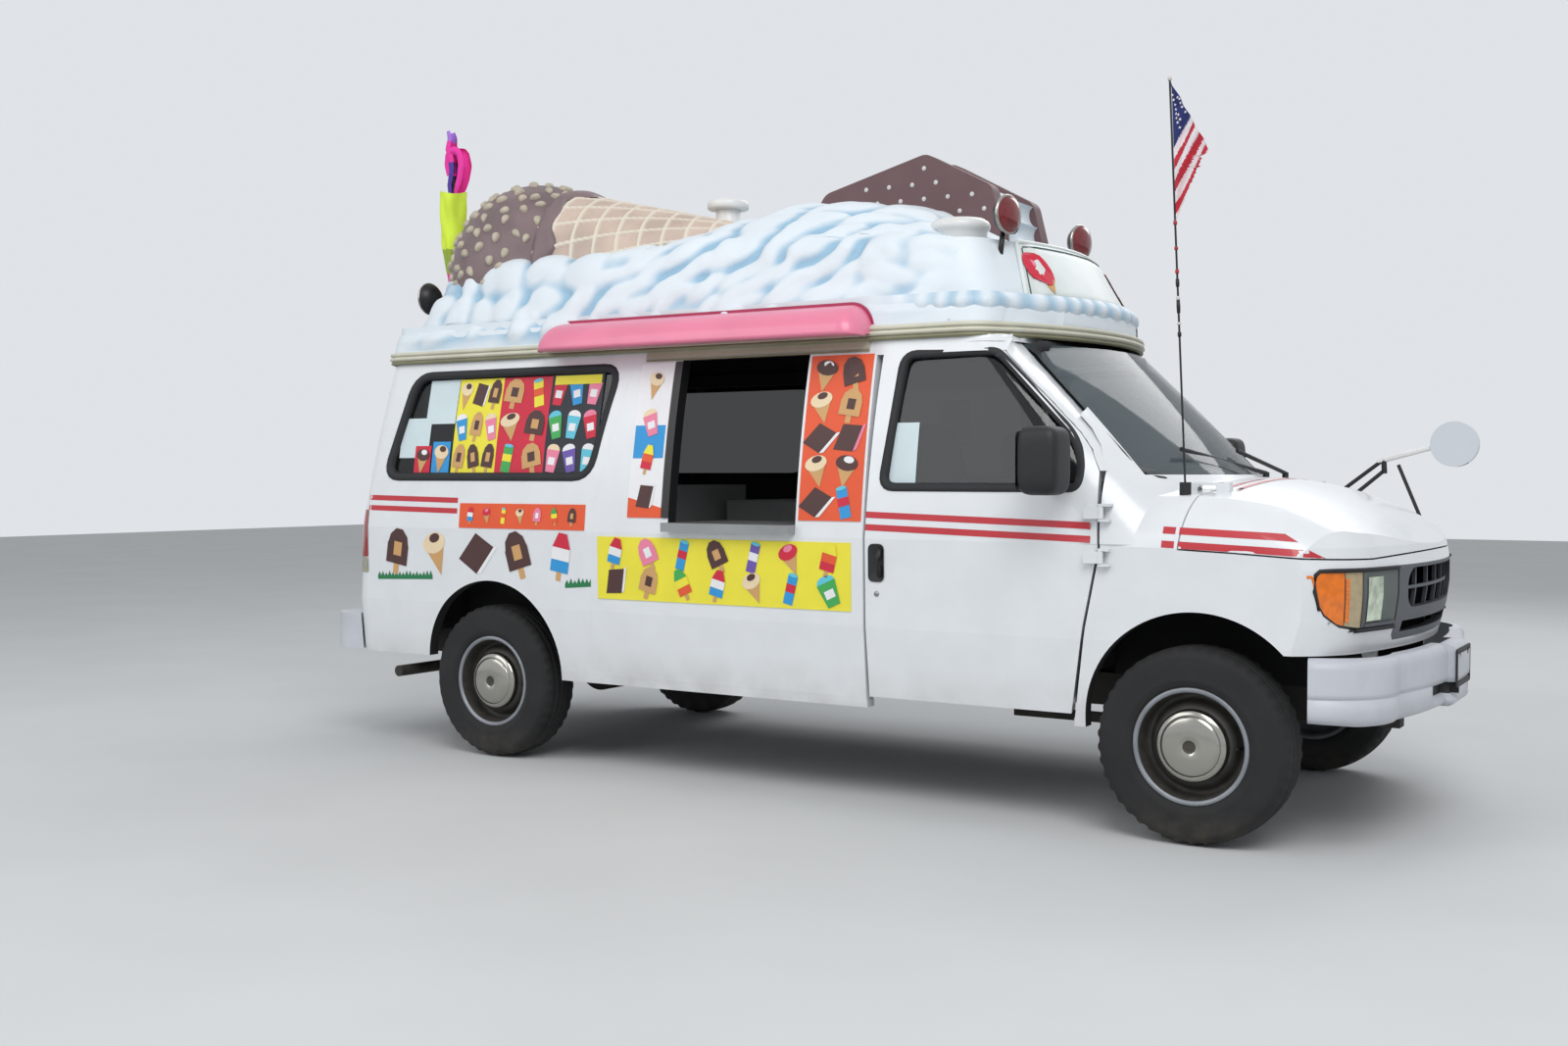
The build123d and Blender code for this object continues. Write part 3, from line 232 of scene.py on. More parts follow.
# Metal
steel = material("steel", (150, 152, 154), 0.35, 0.9, vary=0.08, bump=0.05)
counter_steel = material("counter_steel", (158, 160, 160), 0.35, 0.7, vary=0.08)
chrome = material("hubcap_chrome", (172, 170, 162), 0.18, 1.0, vary=0.05)
cap_line = material("cap_line", (74, 70, 62), 0.5, 0.4, vary=0.1)
rim_steel = material("rim_steel", (128, 132, 136), 0.45, 0.35, vary=0.1)
mix_over(rim_steel, (84, 74, 62), height_fade(0.12, 0.5, 0.5, 14))
dish_dark = material("dish_dark", (66, 64, 60), 0.6, 0.2, vary=0.2, scale=20)
lip_grey = material("lip_grey", (140, 144, 150), 0.4, 0.3, vary=0.12, scale=12)
under_black = material("underbody", (38, 38, 38), 0.8, vary=0.25, bump=0.3)
mix_over(under_black, (86, 76, 62), height_fade(0.2, 0.7, 0.5))
mirror_face = material("mirror_face", (225, 230, 235), 0.03, 1.0, vary=0.01)
lamp_shell = material("lamp_shell", (36, 34, 36), 0.4, 0.4, vary=0.1)

# Glass and lenses
clear_glass = glass_material("clear_glass", (18, 22, 24), 0.72)
# Paler glass for the windshield, standing for the bright reflections on it: painted reflection.
screen_reflection_glass = glass_material("screen_reflection_glass", (86, 100, 106), 0.45)
lens_red = material("lens_red", (150, 14, 16), 0.12, vary=0.12, scale=30, Coat_Weight=0.6)
lens_amber = material("lens_amber", (236, 120, 18), 0.16, vary=0.12, scale=40, Coat_Weight=0.6)
lens_clear = material("lens_clear", (176, 176, 156), 0.1, 0.35, vary=0.12, scale=40, Coat_Weight=0.6)
lens_tan = material("lens_tan", (186, 168, 132), 0.12, 0.15, vary=0.1, scale=30, Coat_Weight=0.6)
lens_glass = material("lens_glass", (206, 218, 196), 0.08, 0.3, vary=0.25, scale=26, Coat_Weight=0.7)
lamp_red = material("lamp_red", (112, 12, 20), 0.14, vary=0.2, scale=26, Coat_Weight=0.6)

# Ice cream
scoop_brown = material("scoop_brown", (122, 104, 106), 0.5, vary=0.16, scale=5, bump=0.2, bump_scale=40)
nut_tan = material("nut_tan", (184, 174, 156), 0.55, vary=0.12, scale=25)
waffle = material("waffle", (198, 178, 164), 0.7, vary=0.12, scale=5, bump=0.3, bump_scale=60)
mix_over(waffle, (226, 218, 202), stored("ridge"))
wafer_brown = material("wafer_brown", (104, 78, 80), 0.6, vary=0.08, scale=4, bump=0.15, bump_scale=30)
dot_pale = material("dot_pale", (206, 206, 204), 0.5)
filling_white = material("filling_white", (224, 232, 238), 0.5, vary=0.04)
# Pale blue growing towards the filling's lower part: painted shade.
mix_over(filling_white, (166, 196, 214), height_fade(2.4, 2.9, 0.7, 5))

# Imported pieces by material
doors = "front_door_right front_door_left rear_door_right rear_door_left"
glass_names = "glass door_glass_right door_glass_left rear_glass_right rear_glass_left"
for look, names in (
    (white, f"fenders windshield_frame hood side_right side_left hatch_panel rear_frame {doors}"),
    (clear_glass, glass_names),
    (under_black, "chassis floor_pan engine front_axle rear_axle exhaust knuckle_right knuckle_left"),
    (black, "door_mirror_right door_mirror_left steering_wheel wipers masts"),
    (tyre_rubber, "tyre_front_right tyre_front_left tyre_rear_right tyre_rear_left"),
    (rim_steel, "rim_front_right rim_front_left rim_rear_right rim_rear_left"),
    (sign_white, "roof_vents sign_board menu_boards"),
    (bumper_grey, "front_bumper rear_bumper"),
    (grille_grey, "grille"),
    (recess_grey, "lamps"),
    (scoop_brown, "scoop"),
    (wafer_brown, "wafers"),
    (filling_white, "filling"),
    (awning_pink, "awning"),
    (counter_steel, "counter"),
    (freezer_white, "freezer"),
    (seat_cloth, "seats"),
    (dash_grey, "dashboard"),
    (pole_white, "crossover_mirror"),
    (steel, "warning_lamps"),
    (cap_white, "roof_cap cream_relief cone flag windsock"),
):
    for name in names.split():
        nodes[name].data.materials.clear()
        nodes[name].data.materials.append(look)


def second_look(names, look, chosen):
    """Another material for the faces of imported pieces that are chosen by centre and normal."""
    for name in names.split():
        mesh = nodes[name].data
        mesh.materials.append(look)
        for polygon in mesh.polygons:
            if chosen(polygon.center, polygon.normal):
                polygon.material_index = len(mesh.materials) - 1


def in_arch(c, n):
    """Whether a face belongs to a wheel arch's inner side."""
    near = min(math.hypot(c.x - at(x), c.z - wheel_z) for x in (0.0, rear_axle))
    behind = n.y * c.y < 0 or (abs(c.y) < 0.86 and c.x < at(0.46))
    return (near < 0.58 and abs(n.y) < 0.7) or (near < 1.0 and behind and n.x < 0.35 and c.z < 1.2)


def inward(c, n):
    """Whether a face looks into the cabin."""
    from_side = abs(c.y) > 0.6 and n.y * c.y < -0.3 * abs(c.y)
    from_above = c.z > 1.9 and n.z < -0.5
    from_tail = c.x < at(-4.1) and abs(c.y) < 0.85 and n.x > 0.4
    return from_side or from_above or from_tail


walls = "side_right side_left hatch_panel rear_frame"
# The windshield takes the paler glass: painted reflection.
second_look("glass", screen_reflection_glass, lambda c, n: c.x > at(-0.92) and abs(c.y) < 0.82)
# Faces that look into the cabin take the dark inner grey: painted shade inside the cabin.
second_look(f"windshield_frame roof_cap {walls} {doors}", inner_wall_shade, inward)
second_look(f"fenders {walls}", arch_black, in_arch)
second_look("hood", arch_black, lambda c, n: n.z < -0.8 and c.x < at(0.6))
second_look("crossover_mirror", black, lambda c, n: c.x < at(0.262) or c.z < 1.44)
second_look("crossover_mirror", mirror_face, lambda c, n: c.x > at(0.49) and n.y < -0.7)
second_look("hatch_panel", black, lambda c, n: abs(n.y) < 0.5 and at(-2.41) < c.x < at(-1.69) and c.z > 1.1)
second_look("lamps", lens_clear, lambda c, n: c.x < 0 and c.z < 0.99)
second_look("lamps", lens_red, lambda c, n: c.x < 0 and c.z >= 0.97)
# Grille faces that don't face forward take the darker recess grey: painted shade on the bars' sides and the
# grille's back.
second_look("grille", recess_grey, lambda c, n: n.x < 0.2)

# Mesh helpers

def piece(name, points, faces, look, body="root", smooth=True):
    """New object from points in the row frame, riding on a body."""
    mesh = bpy.data.meshes.new(name)
    mesh.from_pydata([tuple(map(float, p)) for p in points], [], [tuple(map(int, f)) for f in faces])
    made = bpy.data.objects.new(name, mesh)
    scene.collection.objects.link(made)
    for one in look if isinstance(look, (list, tuple)) else [look]:
        mesh.materials.append(one)
    if smooth:
        mesh.shade_smooth()
    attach(made, body)
    return made


def tint(made, choose):
    """Material slot of every face, from its number and its centre."""
    for number, polygon in enumerate(made.data.polygons):
        polygon.material_index = choose(number, polygon.center)


def store(made, attribute, values):
    """Values kept at the points of a mesh, for its material to read."""
    kept = made.data.attributes.new(attribute, "FLOAT", "POINT")
    kept.data.foreach_set("value", np.ravel(values).astype(np.float32))


def grid_faces(rows, columns, wrap_rows=False, wrap_columns=False):
    """Quads between the points of a grid stored row by row."""
    faces = []
    for i in range(rows if wrap_rows else rows - 1):
        for j in range(columns if wrap_columns else columns - 1):
            i2 = (i + 1) % rows
            j2 = (j + 1) % columns
            faces.append((i * columns + j, i * columns + j2, i2 * columns + j2, i2 * columns + j))
    return faces


def fan_faces(first, count, middle):
    """Triangles between a closed ring of points and one in its middle."""
    return [(first + k, first + (k + 1) % count, middle) for k in range(count)]


def tree_of(*names):
    """Ray-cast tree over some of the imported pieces."""
    points, faces = [], []
    for name in names:
        start = len(points)
        points += [v.co.copy() for v in nodes[name].data.vertices]
        faces += [[start + i for i in p.vertices] for p in nodes[name].data.polygons]
    return BVHTree.FromPolygons(points, faces)


def length_along(line):
    """Distance along a polyline at each of its points."""
    return np.concatenate([[0], np.cumsum(np.linalg.norm(np.diff(line, axis=0), axis=1))])


def unit_way(line):
    """Direction of a polyline at each of its points."""
    way = np.gradient(line, axis=0)
    return way / np.linalg.norm(way, axis=1, keepdims=True)


def bend(start, middle, end, t):
    """Point of a curve from start to end that middle pulls towards itself."""
    return (1 - t) ** 2 * start + 2 * t * (1 - t) * middle + t * t * end


def resample(line, count):
    """Evenly spaced points along a polyline."""
    line = np.array(line, float)
    length = length_along(line)
    wanted = np.linspace(0, length[-1], count)
    return np.stack([np.interp(wanted, length, line[:, k]) for k in range(line.shape[1])], axis=1)


def closed_line(loop, count):
    """Evenly spaced points round a closed outline."""
    return resample(np.vstack([loop, loop[:1]]), count + 1)[:-1]


def rounded(line, radius, steps=6):
    """Closed outline with its corners rounded."""
    out = []
    for i in range(len(line)):
        before, corner, after = (np.array(line[k % len(line)], float) for k in (i - 1, i, i + 1))
        to_before, to_after = before - corner, after - corner
        lengths = np.linalg.norm(to_before), np.linalg.norm(to_after)
        reach = min(radius, lengths[0] * 0.49, lengths[1] * 0.49)
        start = corner + to_before / lengths[0] * reach
        end = corner + to_after / lengths[1] * reach
        for t in np.linspace(0, 1, steps):
            out.append(bend(start, corner, end, t))
    return np.array(out)


def offset_loop(loop, amount):
    """Closed outline moved outward by an amount."""
    loop = np.array(loop, float)
    nxt, prv = np.roll(loop, -1, axis=0), np.roll(loop, 1, axis=0)
    area = np.sum(loop[:, 0] * nxt[:, 1] - nxt[:, 0] * loop[:, 1])
    tangent = nxt - prv
    tangent /= np.maximum(np.linalg.norm(tangent, axis=1, keepdims=True), 1e-9)
    normal = np.stack([tangent[:, 1], -tangent[:, 0]], axis=1) * (1 if area > 0 else -1)
    return loop + normal * amount


class Skin:
    """Outer surface of some pieces seen along one axis, with windows and seams bridged smoothly."""

    def __init__(self, names, axis, sign, u_range, v_range, depth_limit, step=0.015, bridge=True):
        self.axis = axis
        self.sign = sign
        self.u = np.arange(u_range[0], u_range[1] + step, step)
        self.v = np.arange(v_range[0], v_range[1] + step, step)
        tree = tree_of(*names)
        depth = np.full((len(self.u), len(self.v)), np.nan)
        direction = self.place(0, 0, -1) - self.place(0, 0, 0)
        for i, u in enumerate(self.u):
            for j, v in enumerate(self.v):
                found = tree.ray_cast(Vector(self.place(u, v, 6)), Vector(direction))[0]
                if found is not None:
                    depth[i, j] = found[axis] * sign
        depth[depth < depth_limit] = np.nan
        for _ in range(2 if bridge else 0):
            self.drop_sunken(depth)
        known = ~np.isnan(depth)
        filled = np.where(known, depth, np.nanmean(depth))
        for _ in range(900):
            padded = np.pad(filled, 1, mode="edge")
            mean = (padded[:-2, 1:-1] + padded[2:, 1:-1] + padded[1:-1, :-2] + padded[1:-1, 2:]) / 4
            filled = np.where(known, depth, mean)
        self.depth = filled

    @staticmethod
    def drop_sunken(depth):
        """Forgets places that lie under the surface round them, such as seams."""
        rows, columns = depth.shape
        padded = np.pad(depth, 3, constant_values=np.nan)

        def shifted(a, b):
            return padded[3 + a:3 + a + rows, 3 + b:3 + b + columns]

        near = np.stack([shifted(a, b) for a in range(-3, 4) for b in range(-3, 4)])
        low, top = np.nanpercentile(near, (30, 70), axis=0)
        ways = ((2, 0), (0, 2), (3, 3), (3, -3))
        across = np.stack([(shifted(a, b) + shifted(-a, -b)) / 2 for a, b in ways])
        bridged = np.nanmax(np.where(np.isnan(across), -9, across), axis=0)
        level = top - low < 0.02
        depth[(depth < top - 0.014) & level | (depth < bridged - 0.010)] = np.nan

    def place(self, u, v, depth):
        """Point from the two coordinates across the view and the depth along it."""
        if self.axis == 1:
            return np.array((u, self.sign * depth, v))
        if self.axis == 0:
            return np.array((self.sign * depth, u, v))
        return np.array((u, v, self.sign * depth))

    def at(self, u, v, lift=0.0):
        """Point on the surface, lifted off it along the view axis."""
        i = np.clip((u - self.u[0]) / (self.u[1] - self.u[0]), 0, len(self.u) - 1.001)
        j = np.clip((v - self.v[0]) / (self.v[1] - self.v[0]), 0, len(self.v) - 1.001)
        a, b = int(i), int(j)
        s, t = i - a, j - b
        d = self.depth
        low = d[a, b] * (1 - s) + d[a + 1, b] * s
        high = d[a, b + 1] * (1 - s) + d[a + 1, b + 1] * s
        return self.place(u, v, low * (1 - t) + high * t + lift)


shared = ("fenders", "rear_frame", "windshield_frame", "hood")
side_names = {RIGHT: ("side_right", "hatch_panel", "front_door_right"),
              LEFT: ("side_left", "front_door_left")}
body_skin = {side: Skin(side_names[side] + shared, 1, side, (at(-4.40), at(0.62)), (0.42, 1.955), 0.74)
             for side in (RIGHT, LEFT)}
screen_skin = Skin(("windshield_frame", "glass"), 0, 1, (-0.93, 0.93), (1.34, 1.955), at(-1.0), bridge=False)
tail_skin = Skin(("rear_frame", "rear_door_right", "rear_door_left"), 0, -1, (-0.9, 0.9), (0.5, 1.955), 2.2)


def right_skin(name, rear, front, low, high, step=0.03):
    """Skin of one piece on the right side."""
    return Skin((name,), 1, RIGHT, (at(rear), at(front)), (low, high), 0.5, step)


def patch(name, skin, low, high, look, body="root", columns=24, rows=3, lift=0.0015):
    """Thin sheet laid on a skin between a lower and an upper line."""
    low, high = resample(low, columns), resample(high, columns)
    points = [skin.at(*(low[c] + (high[c] - low[c]) * r / (rows - 1)), lift)
              for r in range(rows) for c in range(columns)]
    return piece(name, points, grid_faces(rows, columns), look, body)


def label(name, skin, edges, look, columns, rows, lift, body="root"):
    """Upright sheet on a skin, from its (rear, front, low, high) edges."""
    rear, front, low, high = edges
    return patch(name, skin, line_at((rear, low), (front, low)), line_at((rear, high), (front, high)),
                 look, body, columns, rows, lift)


def gasket(name, skin, outline, look, body="root", inner=0.018, outer=0.014, height=0.006, sink=0.02,
           radius=0.05):
    """Rubber round a window: a low bead from the panel over the glass edge."""
    loop = rounded(outline, radius)
    section = ((outer, 0.0005), (outer - 0.004, height), (-inner + 0.006, height), (-inner, -sink))
    points = [skin.at(u, v, lift) for out, lift in section for u, v in offset_loop(loop, out)]
    return piece(name, points, grid_faces(len(section), len(loop), wrap_columns=True), look, body)


def tube(name, path, radius, look, body="root", sides=10, closed=False):
    """Round bar along a path."""
    path = [Vector(p) for p in path]
    count = len(path)
    points = []
    for i, here in enumerate(path):
        before = path[(i - 1) % count] if closed or i else here
        after = path[(i + 1) % count] if closed or i < count - 1 else here
        along = (after - before).normalized()
        side = along.cross(Vector((0, 0, 1)))
        if side.length < 1e-3:
            side = along.cross(Vector((0, 1, 0)))
        side.normalize()
        up = side.cross(along)
        size = radius[i] if isinstance(radius, (list, tuple)) else radius
        points += [here + size * (side * math.cos(turn) + up * math.sin(turn)) for turn in turns(sides)]
    faces = grid_faces(count, sides, wrap_rows=closed, wrap_columns=True)
    if not closed:
        faces += [tuple(range(sides))[::-1], tuple(range((count - 1) * sides, count * sides))]
    return piece(name, points, faces, look, body)


def turned(name, profile, centre, axis, look, body="root", count=40, tints=None, across=None):
    """Round piece about an axis, from (radius, along, tread cut) points; tints gives each ring's material."""
    axis = Vector(axis).normalized()
    side = axis.cross(Vector((0, 0, 1) if abs(axis.z) < 0.9 else (1, 0, 0))).normalized()
    other = axis.cross(side)
    if across:
        side, other = (Vector(v) for v in across)
    points = []
    for k, turn in enumerate(turns(count)):
        for radius, out, *cut in profile:
            if cut and k % 4 < 2:
                radius -= cut[0]
            round_way = side * math.cos(turn) + other * math.sin(turn)
            points.append(Vector(centre) + axis * out + round_way * radius)
    made = piece(name, points, grid_faces(count, len(profile), wrap_rows=True), look, body)
    if tints:
        tint(made, lambda number, c: tints[number % (len(profile) - 1)])
    return made


def signed_power(value, power):
    """Power of a number's size, with its sign kept."""
    return math.copysign(abs(value) ** power, value)


def section_loop(name, z):
    """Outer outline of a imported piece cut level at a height, in order."""
    work = bmesh.new()
    work.from_mesh(nodes[name].data)
    cut = bmesh.ops.bisect_plane(work, geom=work.verts[:] + work.edges[:] + work.faces[:],
                                 plane_co=(0, 0, z), plane_no=(0, 0, 1))["geom_cut"]
    linked = {}
    for edge in cut:
        if isinstance(edge, bmesh.types.BMEdge):
            a, b = (tuple(round(c, 5) for c in v.co[:2]) for v in edge.verts)
            if a != b:
                linked.setdefault(a, []).append(b)
                linked.setdefault(b, []).append(a)
    work.free()
    loops = []
    while linked:
        start = here = next(iter(linked))
        loop = [start]
        while linked.get(here):
            after = linked[here].pop()
            linked[after].remove(here)
            if not linked[here]:
                del linked[here]
            here = after
            if here == start:
                break
            loop.append(here)
        linked = {k: v for k, v in linked.items() if v}
        loops.append(np.array(loop))
    longest = max(loops, key=lambda line: length_along(line)[-1])
    around = length_along(np.vstack([longest, longest[:1]]))[-1]
    return closed_line(longest, int(around / 0.02) - 1)


def moulding(name, loop, section, look, base=0.0):
    """Closed strip round an outline, with its section as (outward, height above the base) points."""
    points = [(x, y, base + z) for out, z in section for x, y in offset_loop(loop, out)]
    return piece(name, points, grid_faces(len(section), len(loop), wrap_columns=True), look)


# Printed sheets: plain treats in flat colour, as outlines in a unit square

inks = {name: material(f"ink_{name}", colour, 0.5, vary=0.03) for name, colour in {
    "yellow": (238, 226, 62), "red": (206, 34, 62), "orange": (228, 88, 46), "night": (26, 32, 42),
    "sky": (44, 150, 214), "paper": (206, 222, 226), "white": (236, 236, 238), "choc": (74, 44, 42),
    "tan": (206, 160, 104), "pink": (234, 130, 160), "green": (64, 168, 84), "purple": (108, 84, 170),
    "aqua": (96, 196, 218), "cream": (236, 214, 176), "grey": (128, 134, 146), "grass": (28, 120, 72),
}.items()}
ink_names = list(inks)


def oval(x, y, rx, ry, count=14):
    """Outline of an oval round a place."""
    return [(x + rx * math.cos(turn), y + ry * math.sin(turn)) for turn in turns(count)]


def box(x0, y0, x1, y1):
    """Outline of a rectangle between two of its corners."""
    return [(x0, y0), (x1, y0), (x1, y1), (x0, y1)]


def bar_shape(coat, inside):
    return [("tan", box(-0.05, -0.5, 0.05, -0.2)), (coat, oval(0, 0.1, 0.2, 0.4, 10)),
            (coat, box(-0.2, -0.28, 0.2, 0.15)), (inside, box(-0.07, -0.1, 0.08, 0.2))]


def cone_shape(scoop, top):
    return [("tan", [(-0.17, 0.1), (0, -0.5), (0.17, 0.1)]), (scoop, oval(0, 0.2, 0.21, 0.22)),
            (top, oval(0.03, 0.3, 0.1, 0.1, 9))]


def cup_shape(cup, dome):
    return [(dome, oval(0, 0.27, 0.19, 0.17)),
            (cup, [(-0.2, 0.25), (-0.13, -0.45), (0.13, -0.45), (0.2, 0.25)]),
            ("white", box(-0.1, -0.22, 0.1, 0.02))]


def pop_shape(top, middle, foot):
    return [("tan", box(-0.04, -0.5, 0.04, -0.3)), (foot, box(-0.15, -0.32, 0.15, -0.08)),
            (middle, box(-0.15, -0.08, 0.15, 0.17)),
            (top, [(-0.15, 0.17), (0.15, 0.17), (0.07, 0.47), (-0.07, 0.47)])]


def slab_shape(coat, inside):
    return [(coat, [(-0.3, -0.2), (0.05, -0.42), (0.3, 0.22), (-0.05, 0.42)]),
            (inside, [(0.05, -0.42), (0.13, -0.38), (0.37, 0.26), (0.3, 0.22)])]


def tube_shape(body, band):
    return [(body, box(-0.1, -0.45, 0.1, 0.4)), (band, box(-0.1, -0.1, 0.1, 0.14)),
            ("aqua", oval(0, 0.41, 0.1, 0.06, 9))]


treats = {
    "bar": bar_shape("choc", "tan"), "nut_bar": bar_shape("tan", "choc"),
    "pink_bar": bar_shape("pink", "white"),
    "cone": cone_shape("cream", "choc"), "choc_cone": cone_shape("choc", "white"),
    "red_cone": cone_shape("red", "pink"), "blue_cup": cup_shape("sky", "white"),
    "pink_cup": cup_shape("pink", "cream"), "green_cup": cup_shape("green", "aqua"),
    "red_cup": cup_shape("red", "pink"), "purple_cup": cup_shape("purple", "white"),
    "aqua_cup": cup_shape("aqua", "white"), "rocket": pop_shape("red", "white", "sky"),
    "sunset": pop_shape("yellow", "orange", "red"), "lime": pop_shape("green", "yellow", "orange"),
    "slab": slab_shape("choc", "white"), "pink_slab": slab_shape("choc", "pink"),
    "tube": tube_shape("sky", "red"), "dark_tube": tube_shape("purple", "white"),
    "yellow_can": tube_shape("yellow", "orange"), "green_can": tube_shape("green", "yellow"),
}


def print_on(name, skin, placed, lift):
    """Treats laid on a skin: each is (shapes, across, up, width, height, tilt in degrees)."""
    points, faces, colours = [], [], []
    for shapes, u, v, width, height, tilt in placed:
        c, s = math.cos(math.radians(tilt)), math.sin(math.radians(tilt))
        for layer, (ink, outline) in enumerate(shapes):
            start = len(points)
            for x, y in outline:
                x, y = x * width, y * height
                points.append(skin.at(u + x * c - y * s, v + x * s + y * c, lift + 0.0008 * (layer + 1)))
            faces.append(tuple(range(start, len(points))))
            colours.append(ink_names.index(ink))
    made = piece(name, points, faces, list(inks.values()), smooth=False)
    tint(made, lambda number, c: colours[number])


def print_rows(name, skin, edges, names, columns, size, tilt, lift=0.0012):
    """Treats on an even grid inside (rear, front, low, high) edges, tilted to and fro."""
    names = names.split()
    rows = len(names) // columns
    left, right, low, high = at(edges[0]), at(edges[1]), *edges[2:]
    placed = []
    for k, treat in enumerate(names):
        row, column = divmod(k, columns)
        u = left + (right - left) * (column + 0.5) / columns
        v = high - (high - low) * (row + 0.5) / rows
        placed.append((treats[treat], u, v, *size, tilt * (1 if (column + row) % 2 else -0.6)))
    print_on(name, skin, placed, lift)


right_glass = right_skin("glass", -4.19, -2.76, 1.375, 1.885)
quarter_sheets = (
    ("paper", (-3.97, -3.77, 1.64, 1.86), 0, ""),
    ("paper", (-4.13, -3.93, 1.47, 1.67), 0, ""),
    ("red", (-4.02, -3.91, 1.385, 1.53), 1, "choc_cone"),
    ("sky", (-3.90, -3.78, 1.385, 1.55), 1, "cone"),
    ("yellow", (-3.765, -3.475, 1.385, 1.86), 3, "cone slab bar blue_cup nut_bar pink_cup nut_bar bar bar"),
    ("red", (-3.475, -3.165, 1.385, 1.86), 2, "nut_bar yellow_can cone bar green_can nut_bar"),
    ("night", (-3.165, -2.845, 1.385, 1.865), 3,
     "red_cup blue_cup pink_cup green_cup aqua_cup red_cup pink_cup purple_cup aqua_cup"),
)
for number, (ink, edges, columns, names) in enumerate(quarter_sheets):
    label(f"window_sheet_{number}", right_glass, edges, inks[ink], 12, 4, 0.002 + 0.0004 * number)
    if names:
        rear, front, low, high = edges
        wide = (front - rear) / columns
        tall = (high - low) / (len(names.split()) // columns)
        size = (wide * 1.9, tall * 0.95)
        print_rows(f"window_print_{number}", right_glass, edges, names, columns, size, 12, 0.0045)
label("window_sheet_header", right_glass, (-3.145, -2.86, 1.815, 1.858), inks["yellow"], 6, 2, 0.008)

# Boards that the part has as solids: the sheet's colour, then the treats
menu_boards = nodes["menu_boards"]
menu_boards.data.materials.clear()
for ink in ("yellow", "orange", "white"):
    menu_boards.data.materials.append(inks[ink])
tint(menu_boards, lambda number, c: 0 if c.z < 1.11 else 1 if (c.x - axle_x > -2.0 or c.z < 1.26) else 2)
post_skin = right_skin("menu_boards", -2.61, -2.44, 1.20, 1.885)
low_skin = right_skin("menu_boards", -2.78, -1.45, 0.82, 1.09)
front_skin = right_skin("menu_boards", -1.69, -1.41, 1.20, 1.885)
quarter_skin = right_skin("menu_boards", -3.65, -2.88, 1.13, 1.24)
print_rows("board_print_low", low_skin, (-2.78, -1.45, 0.83, 1.09),
           "rocket pink_bar tube bar dark_tube red_cone sunset slab nut_bar lime rocket cone tube green_cup",
           7, (0.24, 0.15), 24)
print_rows("board_print_front", front_skin, (-1.69, -1.41, 1.20, 1.88),
           "choc_cone bar cone nut_bar slab pink_slab cone choc_cone slab tube", 2, (0.26, 0.15), 14)
print_rows("board_print_post", post_skin, (-2.61, -2.44, 1.20, 1.88),
           "cone pink_cup sunset slab", 1, (0.2, 0.14), 18)
label("board_blue", post_skin, (-2.61, -2.44, 1.46, 1.61), inks["sky"], 4, 2, 0.001)
print_rows("board_print_quarter", quarter_skin, (-3.64, -2.89, 1.135, 1.238),
           "rocket red_cone yellow_can cone pink_bar lime bar", 7, (0.12, 0.085), 8)

# Painted strip on the rear quarter: plain bars and cones over a band of grass
print_rows("quarter_strip", body_skin[RIGHT], (-4.22, -2.88, 0.885, 1.115), "bar cone slab bar rocket", 5,
           (0.36, 0.235), 16, 0.0008)
grass_rng = random.Random(3)
blade_step = 0.012
for number, (start, end) in enumerate(((-4.23, -3.84), (-2.99, -2.83))):
    count = int((end - start) / blade_step)
    low = [(at(start + blade_step * k), 0.852 + 0.012 * k / count) for k in range(count + 1)]
    high = [(x, z + 0.018 + (0.028 if k % 2 else 0.0) * grass_rng.uniform(0.5, 1))
            for k, (x, z) in enumerate(low)]
    points = [body_skin[RIGHT].at(x, z, 0.0012) for line in (low, high) for x, z in line]
    piece(f"quarter_grass_{number}", points, grid_faces(2, count + 1), inks["grass"])

# Side stripes
stripe_line = np.array([(-4.30, 1.282), (-1.37, 1.232), (-0.40, 1.203), (-0.015, 1.187), (0.274, 1.174),
                        (0.5, 1.160)])
stripe_band = 0.026
stripe_pitch = 0.052


def stripe(name, side, start, ends, body):
    """Two red bands between two places along the side; the ends on the hood are cut to a point."""
    for k, end in enumerate(ends):
        top_xs = np.linspace(start, end, 24)
        low_xs = np.linspace(start, end + 0.05, 24) if end > 0 else top_xs
        top = np.interp(top_xs, *stripe_line.T) - stripe_pitch * k
        low = np.interp(low_xs, *stripe_line.T) - stripe_pitch * k - stripe_band
        patch(f"{name}_{k}", body_skin[side], line_at(*zip(low_xs, low)), line_at(*zip(top_xs, top)),
              stripe_red, body, lift=0.001)


for side, word in SIDES:
    rear_end = -3.68 if side == RIGHT else -1.40
    stripe(f"stripe_rear_{word}", side, -4.30, (rear_end, rear_end), "root")
    stripe(f"stripe_door_{word}", side, -1.372, (-0.385, -0.385), f"front_door_{word}")
    stripe(f"stripe_cowl_{word}", side, -0.11, (-0.062, -0.062), "root")
    stripe(f"stripe_hood_{word}", side, -0.048, (0.33, 0.42), "hood")

